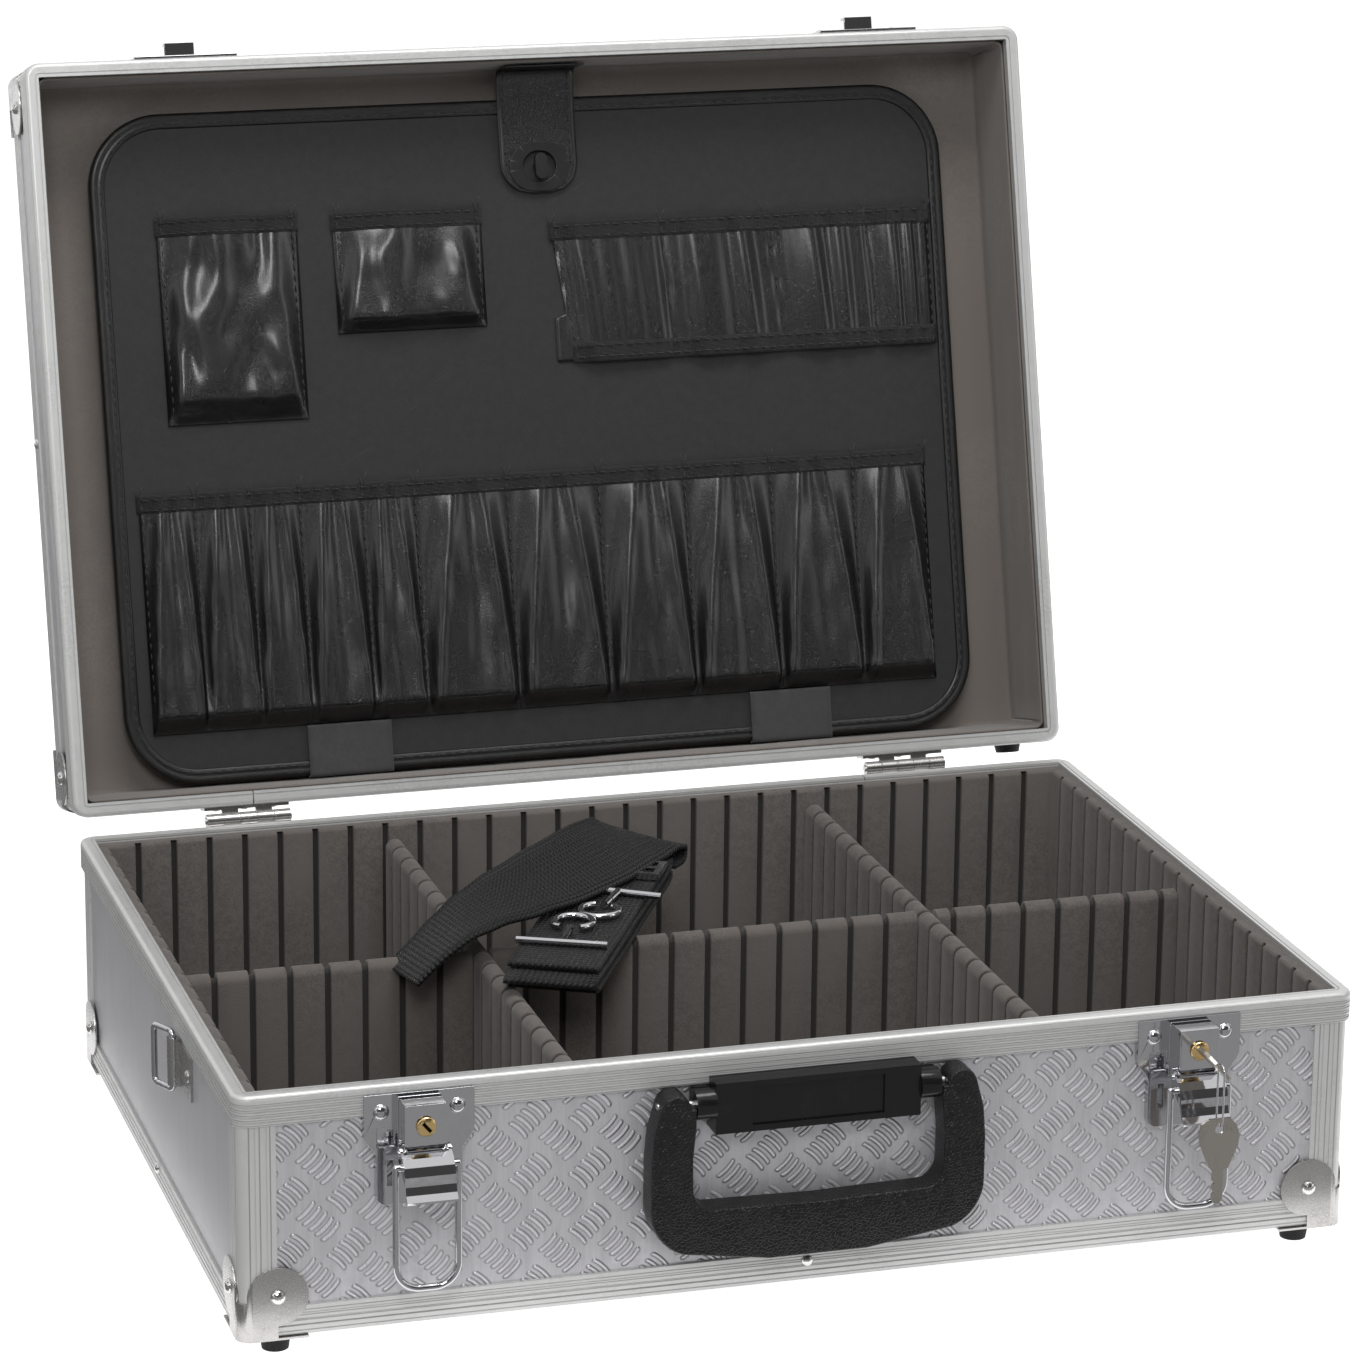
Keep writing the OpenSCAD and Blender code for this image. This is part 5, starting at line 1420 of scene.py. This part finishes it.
def single_pocket(index, slack):
    """A pocket of its own, pinched along its lower edge"""
    x0, x1, v0, v1 = SINGLE_POCKETS[index]

    def height(x, v):
        s, t = (x - x0) / (x1 - x0), min(1.0, (v - v0) / (v1 - v0))
        if not 0 <= s <= 1:
            return SHEET_LIFT
        low = (1 - t) ** 0.8
        pinch = 0.30 * (1 - low) + 0.06 * low
        body = step_up(0, pinch, s) * step_up(0, pinch, 1 - s)
        fold = 0.32 * exp(-((s - 0.28 - 0.16 * t) / 0.09) ** 2)
        fold -= 0.42 * exp(-((s - 0.52 - 0.22 * t) / 0.10) ** 2) * t
        crease = noise.noise(Vector((x * 0.10, v * 0.05, index + 5.0))) * 0.25
        full = slack * body * (0.62 + 0.30 * low + fold * (0.4 + 0.6 * t) + crease)
        return max(0.0, min(slack, full * step_up(-0.01, 0.14, t))) + SHEET_LIFT

    return height


def make_pocket_sheets(slack):
    """The row of pockets, the loops and the two single pockets"""
    bm = bmesh.new()

    def denser_low(t):
        return t ** 1.35

    sheet_grid(bm, POCKET_SEAMS[0], POCKET_SEAMS[-1], POCKET_LOW, POCKET_TOP, 1.7, pocket_row(slack),
               denser_low)
    sheet_grid(bm, LOOP_SEAMS[0], LOOP_SEAMS[-1], LOOP_LOW, LOOP_TOP, 1.8, loop_row(slack))
    for index, pocket in enumerate(SINGLE_POCKETS):
        sheet_grid(bm, *pocket, 1.8, single_pocket(index, slack), denser_low)
    for vert in bm.verts:
        if vert.co.x < LOOP_SEAMS[0] + 9 and -50 > vert.co.y > -110 and vert.co.x > 5:
            t = (PALLET_L / 2 - vert.co.y - LOOP_LOW) / (LOOP_TOP - LOOP_LOW)
            vert.co.x = max(vert.co.x, LOOP_SEAMS[0] + 8 * (1 - t))
    pockets = add_piece(bm, "pocket_sheets", finish("pocket_leather"), "pallet", PALLET, sharp=180)
    add_thickness(pockets, 0.7)
    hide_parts("pallet_pockets")


def make_tapes(slack):
    """Ribbon sewn over each mouth and along the loops' lower edge"""
    bm = bmesh.new()
    row, loops = pocket_row(slack), loop_row(slack)
    left, right = LOOP_SEAMS[0], LOOP_SEAMS[-1] + 1
    bands = [
        (POCKET_SEAMS[0] - 1, POCKET_SEAMS[-1] + 1, POCKET_TOP - 7.5, POCKET_TOP + 0.6,
         lambda x, v: row(x, min(v, POCKET_TOP))),
        (left - 0.5, right, LOOP_TOP - MOUTH_TAPE, LOOP_TOP + 0.6, lambda x, v: loops(x, min(v, LOOP_TOP))),
        (left + 7, right, LOOP_LOW - 0.6, LOOP_LOW + MOUTH_TAPE, lambda x, v: loops(x, max(v, LOOP_LOW)))]
    for index, (x0, x1, _, top) in enumerate(SINGLE_POCKETS):
        single = single_pocket(index, slack)
        bands.append((x0 - 0.5, x1 + 0.5, top - MOUTH_TAPE, top + 0.6,
                      lambda x, v, a=x0, b=x1, c=top, f=single: f(max(a, min(b, x)), min(v, c))))
    for x0, x1, v0, v1, height in bands:
        sheet_grid(bm, x0, x1, v0, v1, 1.6, lambda x, v, f=height: f(x, v) + 0.35)
    tape = add_piece(bm, "pocket_tape", finish("tape"), "pallet", PALLET, sharp=180)
    add_thickness(tape, 0.45)


def raised_line(points, height, lift):
    return [Vector((x, PALLET_L / 2 - v, -height(x, v) - lift)) for x, v in points]


def even(a, b, count):
    """Points evenly spaced from a to b"""
    return [tuple(p + (q - p) * i / count for p, q in zip(a, b)) for i in range(count + 1)]


def make_pocket_stitches(slack, length):
    bm = bmesh.new()
    row, loops = pocket_row(slack), loop_row(slack)

    def sew(a, b, count, height, lift=0.25):
        stitch_line(bm, raised_line(even(a, b, count), height, lift), (0, 0, -1), length)

    first, last = POCKET_SEAMS[0], POCKET_SEAMS[-1]
    for k, x in enumerate(POCKET_SEAMS):
        x = min(max(x, first + 1.2), last - 1.2)
        sew((x, POCKET_TOP + 1), (x, POCKET_LOW + 7 + 6 * hashed(k, 5)), 40, row)
    for v in (POCKET_TOP - SEW_IN, POCKET_TOP - 6.3):
        sew((first + 1, v), (last - 1, v), 200, row, 0.6)
    first, last = LOOP_SEAMS[0], LOOP_SEAMS[-1]
    for k, (x, lean) in enumerate(zip(LOOP_SEAMS, LOOP_LEAN)):
        x = min(x + (0 if k else 1.5), last - 1.2)
        sew((x, LOOP_TOP + 1), (x + lean, LOOP_LOW - 1), 24, loops, 0.4)
    for v, start in ((LOOP_TOP - SEW_IN, 1), (LOOP_TOP - 6.6, 1),
                     (LOOP_LOW + SEW_IN, 9), (LOOP_LOW + 6.6, 9)):
        sew((first + start, v), (last - 1, v), 110, loops, 0.6)
    for index, (x0, x1, low, top) in enumerate(SINGLE_POCKETS):
        single = single_pocket(index, slack)
        for x in (x0 + 2.2, x1 - 2.2):
            sew((x, top + 1), (x, low + 1), 40, single, 0.4)
        for v in (top - SEW_IN, top - 6.6):
            sew((x0 + 1, v), (x1 - 1, v), 50, single, 0.6)
    make_thread_ends(bm, row, loops)
    add_piece(bm, "pocket_stitches", finish("thread"), "pallet", PALLET, sharp=180)


def make_thread_ends(bm, row, loops):
    """Loose ends of the seams' thread, standing up past the taped mouths"""
    mouths = [(x, POCKET_TOP, row) for x in POCKET_SEAMS] + [(x, LOOP_TOP, loops) for x in LOOP_SEAMS]
    mouths += [(x, v1, None) for x0, x1, _, v1 in SINGLE_POCKETS for x in (x0 + 2.2, x1 - 2.2)]
    for k, (x, v, height) in enumerate(mouths):
        z = -(height(x, v) if height else SHEET_LIFT) - 0.6
        for side in (-1, 1):
            reach = 3.5 + 3.0 * hashed(k, 31 + side)
            lean = side * (0.8 + 2.4 * hashed(k, 41 + side))
            foot = Vector((x, PALLET_L / 2 - v + 1.0, z))
            tip = Vector((x + lean, PALLET_L / 2 - v - reach, z - 0.3))
            stitch_line(bm, [foot, tip], (0, 0, -1), (tip - foot).length - 0.01, 1.0, 0.22, 0.1)


class TOOLCASE_OT_closing_strap(bpy.types.Operator):
    """Closing strap with its stitched border, eyelet and turn button"""
    bl_idname = "tool_case.closing_strap"
    bl_label = "Closing strap"
    bl_options = {"REGISTER", "UNDO"}

    def execute(self, context):
        paint(("strap_eyelet", "turn_button"), "eyelet_black", 0.25)
        make_closing_strap(context.scene.tool_case_sizes.stitch / MM)
        return {"FINISHED"}


def make_closing_strap(length):
    face = PALLET_Z - 1.4 - 0.5
    front = PALLET_BACK - PALLET_L
    tip = PALLET_MID + BUTTON_Y + 12
    spine = smooth_path([
        (0, -LID_IN_Y + 0.8, RIM_TOP + RIM_SEAM + 8.2), (0, -LID_IN_Y + 0.8, face - 9),
        (0, -LID_IN_Y + 2.6, face - 3.0), (0, front, face - 0.6), (0, front + 9, face), (0, tip - 16, face),
        (0, tip, face)], 1.6)
    half = STRAP_W / 2
    r = 14.0
    bm = bmesh.new()
    route = []
    for point in spine:
        past = max(0.0, point.y - (tip - r))
        width = 2 * (half - r + sqrt(max(0.0, r * r - past * past)))
        route.append((point + Vector((BUTTON_X, 0, 0)), (1, 0, 0), width))
    ribbon(bm, route, STRAP_W, 18)
    eyelet = Vector((BUTTON_X, PALLET_MID + BUTTON_Y, face))
    hole = []
    for part in bm.faces:
        off = part.calc_center_median() - eyelet
        if (off.x / 8.6) ** 2 + (off.y / 7.6) ** 2 < 1 and off.z > -2:
            hole.append(part)
    bmesh.ops.delete(bm, geom=hole, context="FACES")
    strap = add_piece(bm, "closing_band", finish("strap_leather"), "closing_strap", LID, sharp=60,
                      recalc=True)
    add_thickness(strap, 0.9, 0.0)
    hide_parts("closing_strap")
    make_border_stitches(spine, tip - r, r, face, length)


def make_border_stitches(spine, bend, r, face, length):
    """Stitches along both edges of the closing strap and round its end"""
    half = STRAP_W / 2
    bm = bmesh.new()
    for side in (-1, 1):
        line, normals = [], []
        for k, point in enumerate(spine):
            if point.y > bend:
                continue
            along = (spine[min(k + 1, len(spine) - 1)] - spine[max(k - 1, 0)]).normalized()
            up = along.cross(Vector((-1, 0, 0))).normalized()
            up = -up if up.z > 0 and abs(up.z) > 0.1 else up
            line.append(point + Vector((BUTTON_X + side * (half - 3), 0, 0)) + up * 0.5)
            normals.append(up)
        end = [(half - r + x, bend + y) for x, y in arc_points(0, 0, r - 3, 0, 90, 10)]
        line += [Vector((BUTTON_X + side * x, y, face - 0.5)) for x, y in end]
        normals += [Vector((0, 0, -1))] * len(end)
        stitch_line(bm, line, normals, length, 1.2, 0.32, 0.05)
    add_piece(bm, "strap_stitches", finish("thread"), "closing_strap", LID, sharp=180)


class TOOLCASE_OT_shoulder_strap(bpy.types.Operator):
    """Folded shoulder strap with its hooks and slider"""
    bl_idname = "tool_case.shoulder_strap"
    bl_label = "Shoulder strap"
    bl_options = {"REGISTER", "UNDO"}

    def execute(self, context):
        paint(("snap_hooks", "strap_slider"), "chrome")
        make_webbing()
        return {"FINISHED"}


# The end that is led over the left divider arches up and folds back on itself: (point, side)
STRAP_ARCH = (
    ((-128, -14, 87), (0.10, -0.97, 0.10)), ((-118, -11, 94.5), (0.10, -0.98, 0.10)),
    ((-106, -6, 102), (0.14, -0.98, 0.05)), ((-92, 2, 106.5), (0.22, -0.95, -0.06)),
    ((-72, 13, 109.5), (0.34, -0.88, -0.22)), ((-50, 28, 111), (0.46, -0.78, -0.36)),
    ((-28, 47, 111.5), (0.58, -0.68, -0.42)), ((-10, 67, 110), (0.70, -0.62, -0.34)),
    ((2, 82, 106), (0.80, -0.58, -0.15)), ((6, 89, 100), (0.82, -0.57, 0.0)),
    ((4, 86, 95.5), (0.85, -0.52, 0.0)), ((-3, 78, 95), (0.88, -0.47, 0.0)))
WEB_W, WEB_T = 38.0, 1.9
STACK_HALF, STACK_PITCH, STACK_LAYERS = 75.0, 2.9, 4


def stack_route():
    """The folded layers, one above the other, drawn to and fro"""
    points = []
    for layer in range(STACK_LAYERS):
        z = layer * STACK_PITCH + 1.2
        side = 1 if layer % 2 == 0 else -1
        end = side * (STACK_HALF - 4)
        for k in range(7):
            points.append((-end + 2 * end * k / 6, 0.8 * sin(layer * 2.1),
                           z + 0.35 * sin(k * 1.9 + layer * 1.3)))
        if layer < STACK_LAYERS - 1:
            points.append((side * (STACK_HALF + 3.5), 0, z + STACK_PITCH / 2))
    return [(point, (0, 1, 0)) for point in smooth_path(points, 2.5)]


def arch_route():
    """The arch, its side turning evenly from one stop to the next"""
    line = smooth_path([point for point, _ in STRAP_ARCH], 2.5)
    marks = run_of([Vector(point) for point, _ in STRAP_ARCH])
    runs = run_of(line)
    steps = []
    for point, run in zip(line, runs):
        where = run / runs[-1] * marks[-1]
        i = max(j for j in range(len(marks) - 1) if marks[j] <= where + 1e-6)
        t = step_up(marks[i], marks[i + 1], where)
        steps.append((point, Vector(STRAP_ARCH[i][1]).lerp(Vector(STRAP_ARCH[i + 1][1]), t)))
    return steps


def make_webbing():
    bm, tail = bmesh.new(), bmesh.new()
    run = ribbon(bm, stack_route(), WEB_W) + ribbon(tail, arch_route(), WEB_W)
    bm.transform(Matrix.Translation((-42, 6, DIVIDER_TOP + 0.3)) @ Matrix.Rotation(radians(62), 4, "Z"))
    join_in(bm, tail)
    strap = add_piece(bm, "webbing_strap", finish("webbing"), "shoulder_strap", sharp=180)
    add_thickness(strap, WEB_T, 0.0)
    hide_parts("shoulder_strap")


# ---- Panel, registration and the run in order ----

STEPS = (TOOLCASE_OT_stage, TOOLCASE_OT_shell, TOOLCASE_OT_fittings, TOOLCASE_OT_latches,
         TOOLCASE_OT_handle, TOOLCASE_OT_lining, TOOLCASE_OT_dividers, TOOLCASE_OT_lid_cloth,
         TOOLCASE_OT_pallet, TOOLCASE_OT_pockets, TOOLCASE_OT_closing_strap,
         TOOLCASE_OT_shoulder_strap)


class TOOLCASE_PT_panel(bpy.types.Panel):
    """Steps and values of the tool case"""
    bl_idname = "TOOLCASE_PT_panel"
    bl_label = "Tool case"
    bl_space_type = "VIEW_3D"
    bl_region_type = "UI"
    bl_category = "Tool case"

    def draw(self, context):
        column = self.layout.column(align=True)
        for step in STEPS:
            column.operator(step.bl_idname)
        for values in (context.scene.tool_case_finish, context.scene.tool_case_sizes):
            for key in type(values).__annotations__:
                self.layout.prop(values, key)


CLASSES = (ToolCaseFinish, ToolCaseSizes, *STEPS, TOOLCASE_PT_panel)


def register():
    for item in CLASSES:
        bpy.utils.register_class(item)
    bpy.types.Scene.tool_case_finish = PointerProperty(type=ToolCaseFinish)
    bpy.types.Scene.tool_case_sizes = PointerProperty(type=ToolCaseSizes)


def unregister():
    del bpy.types.Scene.tool_case_sizes
    del bpy.types.Scene.tool_case_finish
    for item in reversed(CLASSES):
        bpy.utils.unregister_class(item)


def corners(bounds):
    return [[float(value) for value in corner] for corner in bounds]


def main():
    register()
    steps = bpy.ops.tool_case
    for step in STEPS:
        getattr(steps, step.bl_idname.split(".")[1])()


if __name__ == "__main__":
    main()
